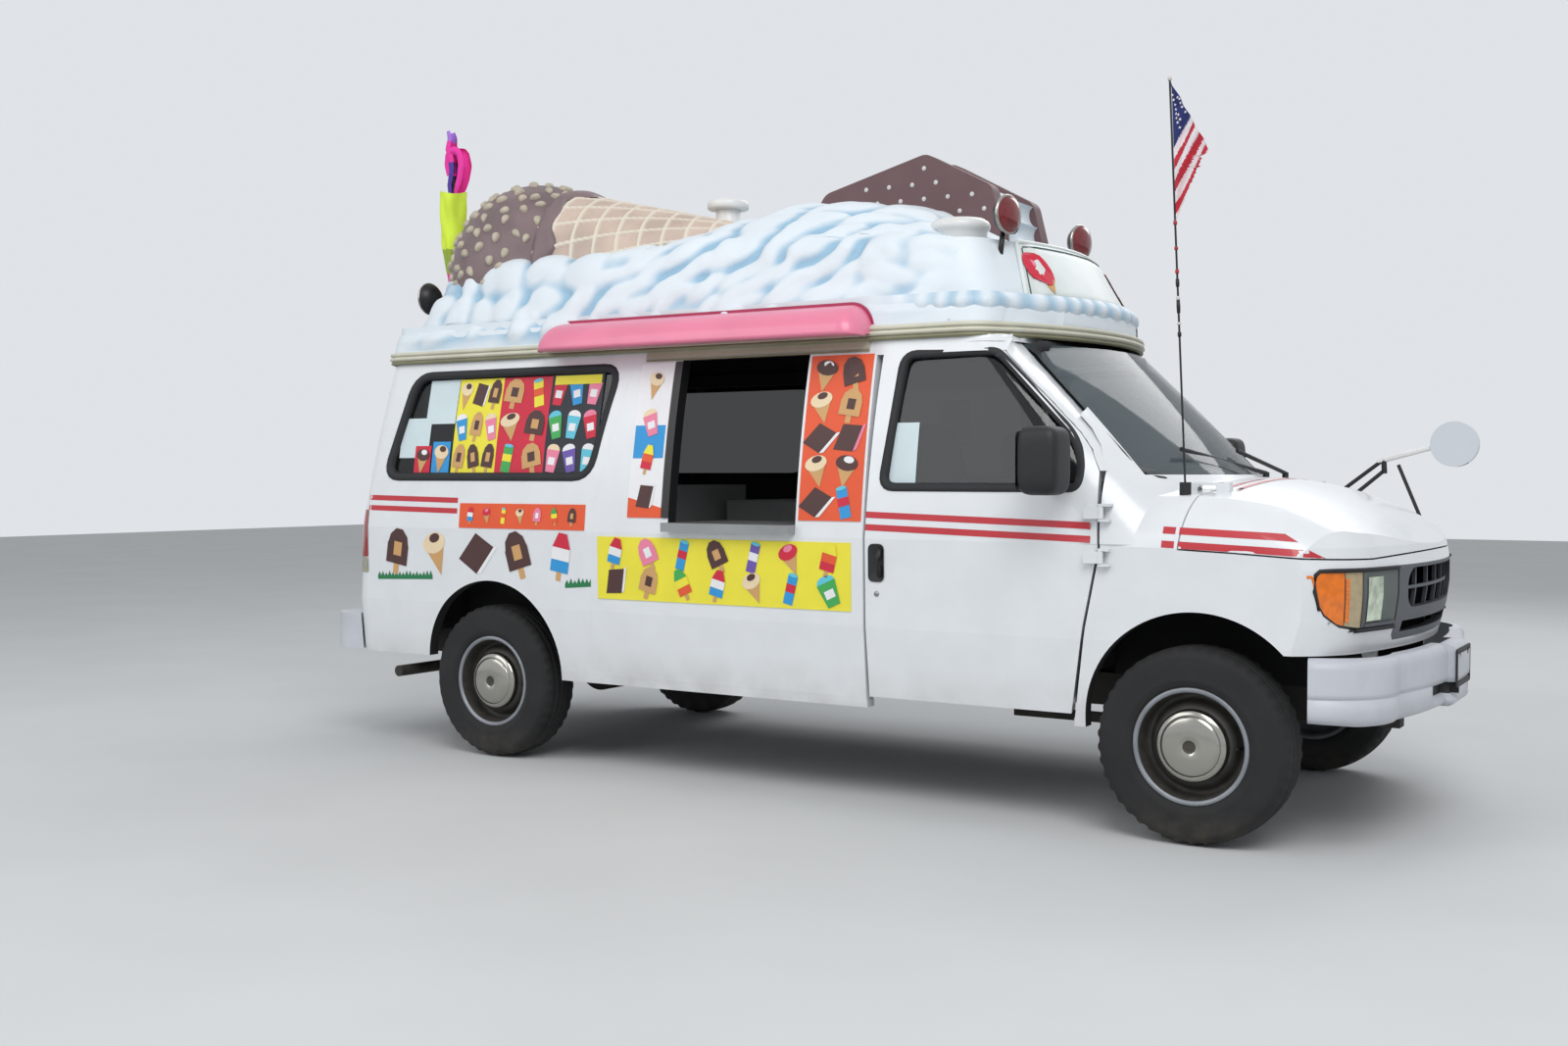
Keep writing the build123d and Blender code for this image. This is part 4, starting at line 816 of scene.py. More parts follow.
# Window rubbers
front_window = line_at((-1.31, 1.33), (-0.446, 1.33), (-0.438, 1.405), (-0.463, 1.493), (-0.51, 1.56),
                       (-0.815, 1.862), (-0.85, 1.888), (-1.255, 1.888))
quarter_window = line_at((-4.20, 1.37), (-2.86, 1.37), (-2.745, 1.89), (-4.06, 1.89))
mid_window = line_at((-2.40, 1.37), (-1.50, 1.37), (-1.50, 1.86), (-2.40, 1.86))
screen = [(-0.808, 1.385), (0.808, 1.385), (0.69, 1.924), (-0.69, 1.924)]
for side, word in SIDES:
    skin = body_skin[side]
    rear_window = [(side * y, z) for y, z in ((0.09, 1.37), (0.66, 1.37), (0.64, 1.85), (0.09, 1.85))]
    gasket(f"rubber_front_{word}", skin, front_window, rubber, f"front_door_{word}", 0.022, radius=0.06)
    gasket(f"rubber_quarter_{word}", skin, quarter_window, rubber, inner=0.026, outer=0.016, radius=0.1)
    gasket(f"rubber_rear_{word}", tail_skin, rear_window, rubber, f"rear_door_{word}", 0.02)
gasket("rubber_mid", body_skin[LEFT], mid_window, rubber, radius=0.09)
gasket("rubber_screen", screen_skin, screen, rubber, inner=0.03, outer=0.016, height=0.005, sink=0.03,
       radius=0.09)


# Pillars beside the windshield and strips over the doors, in the space the doors need to swing

def from_side(tree, side, ahead, z, reach=9.0):
    """Where a level ray from beside the truck first meets some pieces."""
    return tree.ray_cast(Vector((at(ahead), side * 1.5, z)), Vector((0, -side, 0)), reach)[0]


def pillar(word, side):
    """Curved sheet from the front door's edge to the windshield, and the strip over the door."""
    skin = body_skin[side]
    door_tree, screen_tree = tree_of(f"front_door_{word}"), tree_of("glass")
    door_line, screen_line = [], []
    for z in np.linspace(1.40, 1.885, 30):
        tries = np.arange(-1.0, -0.2, 0.003)
        door_x = at(max(a for a in tries if from_side(door_tree, side, a, z, 0.8) is not None))
        screen = next(a for a in tries if a > -0.92 and from_side(screen_tree, side, a, z, 0.95) is not None)
        screen_y = abs(from_side(screen_tree, side, screen, z, 0.95).y)
        door_line.append(np.array((door_x + 0.006, abs(skin.at(door_x, z)[1]), z)))
        screen_line.append(np.array((at(screen) + 0.004, screen_y, z)))
    corner_x = door_line[-1][0]
    for z in (1.905, 1.93, 1.957):
        last, before = screen_line[-1], screen_line[-8]
        screen_line.append(last + (last - before) * ((z - last[2]) / (last[2] - before[2])))
        door_line.append(np.array((corner_x, abs(skin.at(corner_x, z)[1]), z)))
    points = []
    for a, b in zip(door_line, screen_line):
        middle = np.array((b[0], a[1], a[2])) * 0.5 + (a + b) * 0.25
        for t in np.linspace(0, 1, 9):
            x, y, z = bend(a, middle, b, t)
            points.append((x, side * (y + 0.001), z))
    piece(f"pillar_{word}", points, grid_faces(len(door_line), 9), white)
    header = (-1.395, corner_x - axle_x, 1.888, 1.957)
    label(f"door_header_{word}", skin, header, white, 24, 5, 0.0)


for side, word in SIDES:
    pillar(word, side)

# Rails round the roof
rail_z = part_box("roof_cap")[0].z
rail_loop = section_loop("roof_cap", rail_z + 0.01)
for word, look, section in (
    ("upper", rail_cream, ((-0.004, 0.052), (0.012, 0.048), (0.014, 0.036), (0.004, 0.031))),
    ("lower", rail_cream, ((0.002, 0.031), (0.014, 0.026), (0.017, 0.014), (0.003, 0.008))),
    ("gutter", rail_olive, ((0.001, 0.009), (0.009, 0.004), (0.010, -0.006), (-0.006, -0.012))),
):
    moulding(f"rail_{word}", rail_loop, section, look, rail_z)


# Moulded cream over the roof: overlapping lobes raised from the part's own surface

def blur(values, radius):
    """Box blur of a grid along both of its directions."""
    out = values
    for axis in (0, 1):
        first = np.repeat(out.take([0], axis), radius, axis)
        last = np.repeat(out.take([-1], axis), radius, axis)
        sums = np.cumsum(np.concatenate([first, out, last], axis), axis)
        sums = np.concatenate([np.zeros_like(sums.take([0], axis)), sums], axis)
        size, width = out.shape[axis], 2 * radius + 1
        out = (sums.take(range(width, width + size), axis) - sums.take(range(size), axis)) / width
    return out


cloud_tree = tree_of("roof_cap", "cream_relief")
cloud_x = np.arange(at(-4.262), at(-0.72), 0.0135)
cloud_angle = np.linspace(math.radians(4), math.radians(176), 214)
hub_z = 1.95
cloud = np.zeros((len(cloud_x), len(cloud_angle), 3))
for i, x in enumerate(cloud_x):
    for j, angle in enumerate(cloud_angle):
        out = Vector((0, -math.cos(angle), math.sin(angle)))
        found = cloud_tree.ray_cast(Vector((x, 0, hub_z)) + out * 1.6, -out)[0]
        cloud[i, j] = found if found is not None else cloud[i, j - 1]
for k in (1, 2):
    cloud[:, :, k] = blur(cloud[:, :, k], 2)
outward = np.cross(np.gradient(cloud, axis=1), np.gradient(cloud, axis=0))
outward /= np.maximum(np.linalg.norm(outward, axis=2, keepdims=True), 1e-9)
if outward[len(cloud_x) // 2, len(cloud_angle) // 2, 2] < 0:
    outward = -outward
reach = np.array([length_along(line) for line in cloud])
ahead_grid = np.repeat(cloud_x[:, None] - axle_x, len(cloud_angle), axis=1)

# Columns: ahead of the front axle, up the side, half length, half height, tilt in degrees, rise
lobes = [
    (-4.10, 0.16, 0.14, 0.10, 30, 0.036), (-4.02, 0.27, 0.12, 0.09, 30, 0.044),
    (-3.86, 0.20, 0.15, 0.12, 40, 0.056), (-3.78, 0.34, 0.13, 0.11, 25, 0.060),
    (-3.55, 0.37, 0.17, 0.15, 10, 0.088), (-3.29, 0.38, 0.15, 0.14, 0, 0.084),
    (-3.05, 0.39, 0.18, 0.13, -12, 0.080), (-3.68, 0.16, 0.16, 0.09, 38, 0.046),
    (-3.50, 0.22, 0.15, 0.09, 38, 0.056), (-3.40, 0.12, 0.15, 0.08, 40, 0.048),
    (-3.26, 0.22, 0.15, 0.09, 40, 0.058), (-3.14, 0.12, 0.15, 0.08, 40, 0.050),
    (-3.02, 0.24, 0.17, 0.08, 32, 0.058), (-2.94, 0.31, 0.16, 0.06, 16, 0.060),
    (-4.19, 0.07, 0.10, 0.06, 20, 0.026), (-3.95, 0.09, 0.13, 0.06, 25, 0.030),
    (-2.86, 0.42, 0.15, 0.10, -6, 0.066),
]
# Columns: up the side, pitch along it, half length, half height, rise
lobe_rows = (
    (0.16, 0.19, 0.13, 0.058, 0.036), (0.245, 0.22, 0.17, 0.060, 0.048),
    (0.33, 0.23, 0.18, 0.064, 0.056), (0.42, 0.22, 0.16, 0.078, 0.064),
    (0.52, 0.24, 0.16, 0.088, 0.064), (0.64, 0.26, 0.17, 0.10, 0.060),
    (0.78, 0.28, 0.18, 0.11, 0.055), (0.94, 0.30, 0.19, 0.12, 0.050),
)
lobe_rng = random.Random(11)
for number, (up, pitch, length, height, rise) in enumerate(lobe_rows):
    x = (-2.83 if number < 4 else -4.1) + pitch * (number % 2) / 2
    while x < -1.05:
        swoop = 18 + 26 * math.sin((x + 2.9) * 2.1)
        lobes.append((x + lobe_rng.uniform(-0.04, 0.04), up + lobe_rng.uniform(-0.015, 0.015),
                      length * lobe_rng.uniform(0.8, 1.15), height * lobe_rng.uniform(0.85, 1.15),
                      swoop + lobe_rng.uniform(-8, 8), rise * lobe_rng.uniform(0.8, 1.1)))
        x += pitch
puffs = []
for _ in range(420):
    x, up, size = lobe_rng.uniform(-4.2, -1.2), lobe_rng.uniform(0.10, 1.0), lobe_rng.uniform(0.035, 0.075)
    puffs.append((x, up, size * 1.3, size, lobe_rng.uniform(10, 55), size * 0.16))


def lobe_height(side_reach, forms):
    """How far some lobes rise at each place of the grid, for one side."""
    height = np.zeros_like(side_reach)
    for ahead, up, length, tall, tilt, rise in forms:
        c, s = math.cos(math.radians(tilt)), math.sin(math.radians(tilt))
        dx, dy = warped_ahead - ahead, side_reach + warp_up - up
        u, v = (dx * c + dy * s) / length, (dy * c - dx * s) / tall
        curl = v + 0.35 * u * u
        r2 = u * u + curl * curl
        dome = np.sqrt(np.clip(1 - r2, 0, 1)) * (0.72 + 0.28 * np.clip(curl, -1, 1))
        height = np.maximum(height, rise * dome)
    return height


warped_ahead = (ahead_grid + 0.035 * np.sin(9 * reach + 2.3 * ahead_grid)
                + 0.02 * np.sin(17 * ahead_grid + 5 * reach))
warp_up = 0.022 * np.sin(6.1 * ahead_grid + 1.7) + 0.014 * np.sin(13.7 * ahead_grid)
from_foot = np.minimum(reach, reach[:, -1:] - reach)
fade = np.clip((-1.05 - ahead_grid) / 0.35, 0, 1) * np.clip((ahead_grid + 4.26) / 0.25, 0, 1)
foot = np.clip(from_foot / 0.06, 0, 1)
rise = lobe_height(from_foot, lobes) + lobe_height(from_foot, puffs)
rise = blur(rise * fade * foot, 1)
# Pale blue share from how far each place lies below the blurred rise: painted shade in the creases between
# lobes.
hollow_shade = np.clip((blur(rise, 7) - rise) / 0.014, 0, 0.85)
cloud_points = cloud + outward * (rise + 0.002 * foot * fade)[:, :, None]
cloud_faces = grid_faces(len(cloud_x), len(cloud_angle))
cream = piece("cream_lobes", cloud_points.reshape(-1, 3), cloud_faces, cap_white)
store(cream, "hollow_shade", hollow_shade * np.clip(0.2 + fade, 0, 1))
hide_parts("cream_relief")

# Ripples along the foot of the roof front
front_loop = section_loop("roof_cap", 2.098)
ripple_pitch = 0.115
ripple = np.array([0.5 + 0.5 * math.sin(s * 2 * math.pi / ripple_pitch + 1.6 * math.sin(s * 9))
                   for s in length_along(front_loop)])
mask = np.clip((front_loop[:, 0] - at(-1.45)) / 0.4, 0, 1)
one_out = offset_loop(front_loop, 1.0) - front_loop
# Columns: outward, height, share of the ripple
shape = ((-0.004, 2.060, 0.3), (0.004, 2.080, 0.9), (0.006, 2.102, 1.0), (-0.006, 2.122, 0.9),
         (-0.022, 2.140, 0.4))
ring_points = []
for out, z, share in shape:
    ring = front_loop + one_out * ((out + 0.012 * ripple * share) * mask - 0.012 * (1 - mask))[:, None]
    ring_points += [(x, y, z) for x, y in ring]
roll = piece("front_ripples", ring_points, grid_faces(len(shape), len(front_loop), wrap_columns=True),
             cap_white)
# Pale blue in the troughs between the ripples: painted shade.
store(roll, "hollow_shade", np.tile((1 - ripple) * mask * 0.7, len(shape)))

# Dipped scoop with nuts

cone_y, cone_z = -0.28, 2.43
scoop_centre = Vector((at(-3.74), cone_y, cone_z))
nut_reach = 0.478
nut_sides = 12
nut_rings = ((1.0, -0.3), (0.96, 0.3), (0.72, 0.8), (0.4, 0.95))
last_ring = (len(nut_rings) - 1) * nut_sides
nut_shell = grid_faces(len(nut_rings), nut_sides, wrap_columns=True)
nut_shell += fan_faces(last_ring, nut_sides, last_ring + nut_sides)
nut_rng = random.Random(5)
nut_points, nut_faces = [], []
golden = math.pi * (3 - math.sqrt(5))
nut_count = 250
for k in range(nut_count):
    up = 1 - 1.55 * (k + 0.5) / nut_count
    flat = math.sqrt(max(0, 1 - up * up))
    out = Vector((flat * math.cos(golden * k), flat * math.sin(golden * k), up))
    out = (out + Vector([nut_rng.uniform(-0.05, 0.05) for _ in range(3)])).normalized()
    here = scoop_centre + out * nut_reach
    if here.x > at(-3.43) or here.z < 2.16:
        continue
    side = out.cross(Vector((0.2, 0.3, 1))).normalized()
    side.rotate(Matrix.Rotation(nut_rng.uniform(0, 3.14), 3, out))
    other = out.cross(side)
    long, wide = nut_rng.uniform(0.026, 0.033), nut_rng.uniform(0.018, 0.023)
    tall = nut_rng.uniform(0.016, 0.024)
    nut_faces += [tuple(len(nut_points) + corner for corner in face) for face in nut_shell]
    for size, lift in nut_rings:
        for turn in turns(nut_sides):
            taper = 1 - 0.3 * math.cos(turn)
            nut_points.append(here + side * (long * size * math.cos(turn))
                              + other * (wide * size * taper * math.sin(turn)) + out * (tall * lift))
    nut_points.append(here + out * tall)
piece("scoop_nuts", nut_points, nut_faces, nut_tan)


# Waffle cone

def cone_radius(ahead):
    """Radius of the waffle cone, from its mouth to its point."""
    return 0.405 * (1 - (ahead + 3.45) / 1.72)


def round_cone(ahead, radius, turn):
    """Point round the cone's middle line."""
    return (at(ahead), cone_y + radius * math.cos(turn), cone_z + radius * math.sin(turn))


cone_start, cone_end = -3.46, -1.95
cone_rings, cone_sides = 200, 264
cone_points, ridge_value = [], []
for ahead in np.linspace(cone_start, cone_end, cone_rings):
    for turn in turns(cone_sides):
        round_share = turn / (2 * math.pi)
        lines = (ahead / 0.118 - 0.9 * round_share, 19 * round_share + 1.1 * (ahead - cone_start) / 0.5)
        ridge = max(1 - min(1, max(0, abs(line - round(line)) - 0.05) / 0.045) for line in lines)
        cone_points.append(round_cone(ahead, cone_radius(ahead) + 0.009 * ridge, turn))
        ridge_value.append(ridge)
cone = piece("waffle_cone", cone_points, grid_faces(cone_rings, cone_sides, wrap_columns=True), waffle)
store(cone, "ridge", ridge_value)
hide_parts("cone")

lip_points = []
lip_rings, lip_sides = 10, 90
for v in turns(lip_sides):
    drip = 0.030 + 0.022 * math.sin(5 * v) + 0.016 * math.sin(11 * v + 1)
    for a in np.linspace(0, math.pi, lip_rings):
        x = -3.475 + (0.07 + drip) * 0.5 * (1 - math.cos(a))
        base = cone_radius(x) if x > -3.45 else 0.392
        lip_points.append(round_cone(x, base + 0.004 + 0.024 * math.sin(a), v))
piece("chocolate_lip", lip_points, grid_faces(lip_sides, lip_rings, wrap_rows=True), scoop_brown)


# Bitten sandwich

def scalloped(line, first, last, depth, count):
    """Outline whose side between two of its corners is bitten into scallops."""
    start, end = np.array(line[first], float), np.array(line[last], float)
    along = end - start
    inward = np.array([along[1], -along[0]]) / np.linalg.norm(along)
    if (np.mean(line, axis=0) - start) @ inward < 0:
        inward = -inward
    bitten = []
    for k in range(count * 8 + 1):
        t = k / (count * 8)
        bitten.append(start + along * t + inward * depth * math.sqrt(abs(math.sin(math.pi * t * count))))
    return np.array(list(line[:first]) + bitten + list(line[last + 1:]))


def slab(name, outline, y_low, y_high, look, steps=2):
    """Side-view outline given thickness."""
    count = len(outline)
    points = [(at(x), y, z) for y in np.linspace(y_low, y_high, steps) for x, z in outline]
    faces = grid_faces(steps, count, wrap_columns=True)
    faces += [tuple(range(count)), tuple(range((steps - 1) * count, steps * count))[::-1]]
    return piece(name, points, faces, look, smooth=False)


top_edge = [(-2.33, 2.50), (-2.15, 2.76), (-1.60, 2.90)]
biscuit = [*top_edge, (-1.18, 2.67), (-1.13, 2.47), (-1.13, 2.38), (-2.33, 2.38)]
near_line = rounded([*top_edge, (-1.26, 2.72), (-1.21, 2.52), (-1.20, 2.38), (-2.33, 2.38)], 0.03)
near = slab("wafer_near", near_line, -0.02, 0.06, wafer_brown)
slab("wafer_far", rounded(biscuit, 0.03), 0.27, 0.35, wafer_brown)
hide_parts("wafers")
inner_line = scalloped([(x, z - 0.018 if z > 2.4 else z) for x, z in biscuit], 3, 4, 0.030, 2)
soft = slab("sandwich_filling", scalloped(inner_line, 2, 3, 0.02, 4), 0.06, 0.27, filling_white, 4)
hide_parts("filling")
dot_sides, dot_radius = 10, 0.011
dot_points, dot_faces = [], []
for row in range(8):
    for column in range(14):
        x, z = -2.36 + 0.125 * column + 0.0625 * (row % 2), 2.40 + 0.072 * row
        inside = z < np.interp(x, [-2.15, -1.60, -1.18], [2.72, 2.85, 2.62]) and -2.2 < x < -1.2
        for y, out in ((-0.0205, -1), (0.3505, 1)) if inside else ():
            start = len(dot_points)
            dot_points += [(at(x) + dot_radius * math.cos(a), y, z + dot_radius * math.sin(a))
                           for a in turns(dot_sides)]
            dot_points.append((at(x), y + 0.003 * out, z))
            dot_faces += fan_faces(start, dot_sides, start + dot_sides)
piece("wafer_dots", dot_points, dot_faces, dot_pale, smooth=False)

# Wheels, from (radius, outward, tread cut) points

half_tyre = [
    (0.2215, 0.088), (0.2235, 0.099), (0.232, 0.1065), (0.243, 0.1085), (0.249, 0.1122), (0.256, 0.1108),
    (0.285, 0.1120), (0.310, 0.1120), (0.330, 0.1090), (0.337, 0.1085), (0.340, 0.1065),
    (0.352, 0.1000, 0.001), (0.3600, 0.0930, 0.005), (0.3665, 0.0840, 0.007), (0.3695, 0.0700, 0.006),
    (0.3700, 0.0560),
    (0.3630, 0.0530), (0.3630, 0.0470), (0.3710, 0.0440), (0.3715, 0.0300, 0.002), (0.3715, 0.0210),
    (0.3640, 0.0180), (0.3640, 0.0120), (0.3720, 0.0090), (0.3720, 0.0000),
]
tyre_profile = half_tyre + [(r[0], -r[1], *r[2:]) for r in half_tyre[-2::-1]]
rim_back = [
    (0.2215, -0.088), (0.2215, -0.097), (0.2120, -0.0995), (0.2030, -0.095), (0.1980, -0.080),
    (0.1950, -0.020), (0.1900, 0.000), (0.1700, 0.004), (0.1500, 0.030), (0.0600, 0.034),
]
rim_front = [
    (0.2215, 0.088), (0.2220, 0.096), (0.2190, 0.1002), (0.2120, 0.1008), (0.2055, 0.0985), (0.2025, 0.0930),
    (0.2000, 0.0840), (0.1980, 0.0600), (0.1955, 0.0300), (0.1900, 0.0130), (0.1780, 0.0100),
    (0.1690, 0.0180), (0.1630, 0.0340), (0.1560, 0.0460), (0.1460, 0.0550), (0.1380, 0.0590),
]
rim_tints = [1] * 5 + [0] * (len(rim_front) - 6)
cap_profile = [
    (0.1365, 0.0600), (0.1375, 0.0740), (0.1360, 0.0840), (0.1290, 0.0900), (0.1200, 0.0940),
    (0.1150, 0.0962), (0.1138, 0.0940), (0.1122, 0.0940), (0.1110, 0.0975), (0.1000, 0.1010),
    (0.0800, 0.1050), (0.0500, 0.1080), (0.0250, 0.1088), (0.0225, 0.1060), (0.0150, 0.1055),
    (0.0005, 0.1055),
]
cap_tints = [0] * 5 + [1] * 2 + [0] * 5 + [1] * 3
rim_looks = [dish_dark, lip_grey]
cap_looks = [chrome, cap_line]
for place in ("front_right", "front_left", "rear_right", "rear_left"):
    side = LEFT if place.endswith("left") else RIGHT
    centre = Vector(middle_of(f"tyre_{place}"))
    body = f"wheel_{place}"
    hub = {"centre": centre, "axis": (0, side, 0), "across": ((1, 0, 0), (0, 0, 1)), "body": body}
    tyre = turned(f"tread_{place}", tyre_profile, look=tyre_rubber, count=168, **hub)
    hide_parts(f"tyre_{place}")
    rim = turned(f"wheel_disc_{place}", rim_front, look=rim_looks, count=96, tints=rim_tints, **hub)
    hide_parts(f"rim_{place}")
    turned(f"wheel_back_{place}", rim_back, look=rim_steel, count=96, **hub)
    turned(f"hubcap_{place}", cap_profile, look=cap_looks, count=96, tints=cap_tints, **hub)
    stem = centre + Vector((0.176, side * 0.02, 0))
    tube(f"valve_{place}", [stem, stem + Vector((-0.012, side * 0.05, 0))], 0.004, black, body, 8)


# Lamps

lamp_tree = tree_of("lamps", "grille", "fenders")


def lamp_point(side, angle, z, lift):
    """Point on the front corner, by its angle round the corner's middle, lifted off the surface."""
    turn = math.radians(angle)
    out = Vector((math.cos(turn), side * math.sin(turn), 0))
    start = Vector((at(0.30), side * 0.50, z))
    found = lamp_tree.ray_cast(start + out * 1.5, -out)[0]
    return (found if found is not None else start + out * 0.35) + out * lift


lamp_edge = np.array([(0.438, 1.000), (0.442, 0.930), (0.462, 0.875), (0.505, 0.832), (0.56, 0.817),
                      (0.90, 0.817)])


def lens(name, side, angles, look, z_low=0.829, z_high=1.031, lift=0.002, columns=10, rows=14, flutes=0):
    """Part of the lamp between two angles, kept inside the lamp's rounded rear end."""
    points = []
    for angle in np.linspace(*angles, columns):
        ahead = lamp_point(side, angle, 0.93, 0).x - axle_x
        foot = max(z_low, float(np.interp(ahead, *lamp_edge.T)) + 0.012)
        top = min(z_high, 1.0 + (ahead - 0.438) * 3.5)
        for row, z in enumerate(np.linspace(foot, max(top, foot + 0.01), rows)):
            ridge = 0.002 * abs(math.sin(row * math.pi * flutes / (rows - 1))) if flutes else 0
            points.append(lamp_point(side, angle, z, lift + ridge))
    piece(name, points, grid_faces(columns, rows), look)


lamp_rear = ((0.57, 0.817), (0.53, 0.822), (0.505, 0.832), (0.48, 0.851), (0.462, 0.875), (0.45, 0.902),
             (0.442, 0.930), (0.439, 0.965), (0.438, 1.000), (0.441, 1.025), (0.452, 1.038))


def lamp_gasket(word, side):
    """Rubber round the whole lamp: along its foot, round its rear end and back over its top."""
    rear_edge = []
    for ahead, z in lamp_rear:
        found = from_side(lamp_tree, side, ahead, z)
        if found is not None:
            rear_edge.append(found + Vector((0, side * 0.002, 0)))
    low_edge = [lamp_point(side, angle, 0.817, 0.002) for angle in range(3, 52, 4)]
    high_edge = [lamp_point(side, angle, 1.040, 0.002) for angle in range(64, 2, -4)]
    tube(f"lamp_gasket_{word}", low_edge + rear_edge + high_edge, 0.0075, rubber, sides=8)


tail_tree = tree_of("rear_frame", "lamps", "side_right", "side_left")


def tail_lens(name, side, look, z_low, z_high):
    """Lens over one part of a tail lamp, round the rear corner."""
    points = []
    for angle in np.radians(np.linspace(8, 84, 12)):
        out = Vector((-math.cos(angle), side * math.sin(angle), 0))
        for z in np.linspace(z_low, z_high, 6):
            start = Vector((at(-4.28), side * 0.84, z))
            found = tail_tree.ray_cast(start + out * 0.6, -out)[0]
            points.append((found if found is not None else start + out * 0.12) + out * 0.004)
    piece(name, points, grid_faces(12, 6), look)


for side, word in SIDES:
    lens(f"turn_lens_{word}", side, (76, 58), lens_amber)
    lens(f"park_lens_{word}", side, (57.6, 46), lens_tan)
    lens(f"park_prisms_{word}", side, (57.4, 55.2), lens_amber, 0.85, 1.01, 0.005, 3, 41, 10)
    lens(f"lamp_divider_{word}", side, (46, 43.5), grille_grey, lift=0.006, columns=3)
    lens(f"head_recess_{word}", side, (43.5, 4), lamp_shade, lift=0.001)
    lens(f"head_lens_{word}", side, (41.5, 25), lens_glass, 0.850, 1.012, 0.005)
    lens(f"head_sill_{word}", side, (43, 5), grille_grey, 0.826, 0.842, 0.008, 10, 3)
    lamp_gasket(word, side)
    tail_lens(f"tail_lens_red_{word}", side, lens_red, 0.965, 1.205)
    tail_lens(f"tail_lens_clear_{word}", side, lens_clear, 0.885, 0.960)

# Bumpers and number plate holder

for name, width in (("rear_bumper", 0.030), ("counter", 0.004)):
    bevel = nodes[name].modifiers.new("soft_edges", "BEVEL")
    bevel.width = width
    bevel.segments = 4
    bevel.limit_method = "ANGLE"
    bevel.angle_limit = math.radians(40)

# Columns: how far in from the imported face, height
bumper_rows = (
    (0.070, 0.724), (0.036, 0.722), (0.016, 0.716), (0.005, 0.704), (0.000, 0.686), (0.000, 0.600),
    (0.001, 0.586), (0.006, 0.583), (0.006, 0.5775), (0.001, 0.5745), (0.001, 0.530), (0.004, 0.508),
    (0.014, 0.490), (0.032, 0.480), (0.060, 0.478),
)
slot_row = 9
slot_low, slot_high = bumper_rows[slot_row + 1][1], bumper_rows[slot_row][1]
bumper_tree = tree_of("front_bumper")
bumper_angles = np.concatenate([np.linspace(-77, -24, 44), np.linspace(-23, 23, 93), np.linspace(24, 77, 44)])
bumper_points = []
for angle in np.radians(bumper_angles):
    out = Vector((math.cos(angle), math.sin(angle), 0))
    face = bumper_tree.ray_cast(Vector((at(0.2), 0, 0.65)) + out * 2, -out)[0]
    in_slot = 0.105 < abs(face.y) < 0.335
    end_share = min(1.0, max(0.0, (abs(face.y) - 0.90) / 0.08))
    for inset, z in bumper_rows:
        here = face - out * (inset + (0.03 if in_slot and slot_low <= z <= slot_high else 0.0))
        bumper_points.append((here.x, here.y, z + 0.010 * end_share if z < 0.5 else z))
bumper = piece("bumper_moulding", bumper_points, grid_faces(len(bumper_angles), len(bumper_rows)),
               [bumper_grey, black])
tint(bumper, lambda number, c: int(number % (len(bumper_rows) - 1) == slot_row and 0.10 < abs(c.y) < 0.34))
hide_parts("front_bumper")

plate_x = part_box("front_bumper")[1].x
plate_depth = 0.006
for side, word in SIDES:
    for z in (0.605, 0.685):
        strut = [(at(0.735), side * 0.08, z), (plate_x - 0.003, side * 0.08, z)]
        tube(f"plate_strut_{word}_{int(z * 1000)}", strut, 0.006, black)
    tab = [(plate_x - plate_depth, side * 0.0889, 0.68), (plate_x, side * 0.0889, 0.68)]
    tube(f"plate_tab_{word}", tab, 0.014, black)
holder = rounded(box(-0.15, 0.555, 0.15, 0.705), 0.012)
inner = offset_loop(holder, -0.022)
plate_back = plate_x - plate_depth
levels = ((holder, plate_back), (holder, plate_x), (inner, plate_x), (inner, plate_back))
piece("plate_holder", [(x, y, z) for loop, x in levels for y, z in loop],
      grid_faces(4, len(holder), wrap_rows=True, wrap_columns=True), black, smooth=False)


# Door handles and locks

def door_handle(word, side):
    """Sunk handle with its lever, and the lock under it."""
    skin, body = body_skin[side], f"front_door_{word}"
    outline = rounded(box(at(-1.352), 0.945, at(-1.285), 1.095), 0.022)
    count = len(outline)
    points = [skin.at(u, v, 0.004) for u, v in offset_loop(outline, 0.004)]
    points += [skin.at(u, v, 0.002) for u, v in outline] + [skin.at(at(-1.318), 1.02, 0.002)]
    faces = grid_faces(2, count, wrap_columns=True) + fan_faces(count, count, 2 * count)
    piece(f"handle_recess_{word}", points, faces, black, body)
    lever = [skin.at(at(x), z, lift) for x, z, lift in ((-1.300, 0.965, 0.006), (-1.302, 1.000, 0.015),
                                                        (-1.303, 1.045, 0.015), (-1.300, 1.078, 0.006))]
    tube(f"handle_lever_{word}", lever, 0.010, black, body, 10)
    lock = [skin.at(at(-1.318), 0.892, lift) for lift in (-0.002, 0.004)]
    tube(f"door_lock_{word}", lock, [0.013, 0.010], steel, body, 16)


for side, word in SIDES:
    door_handle(word, side)

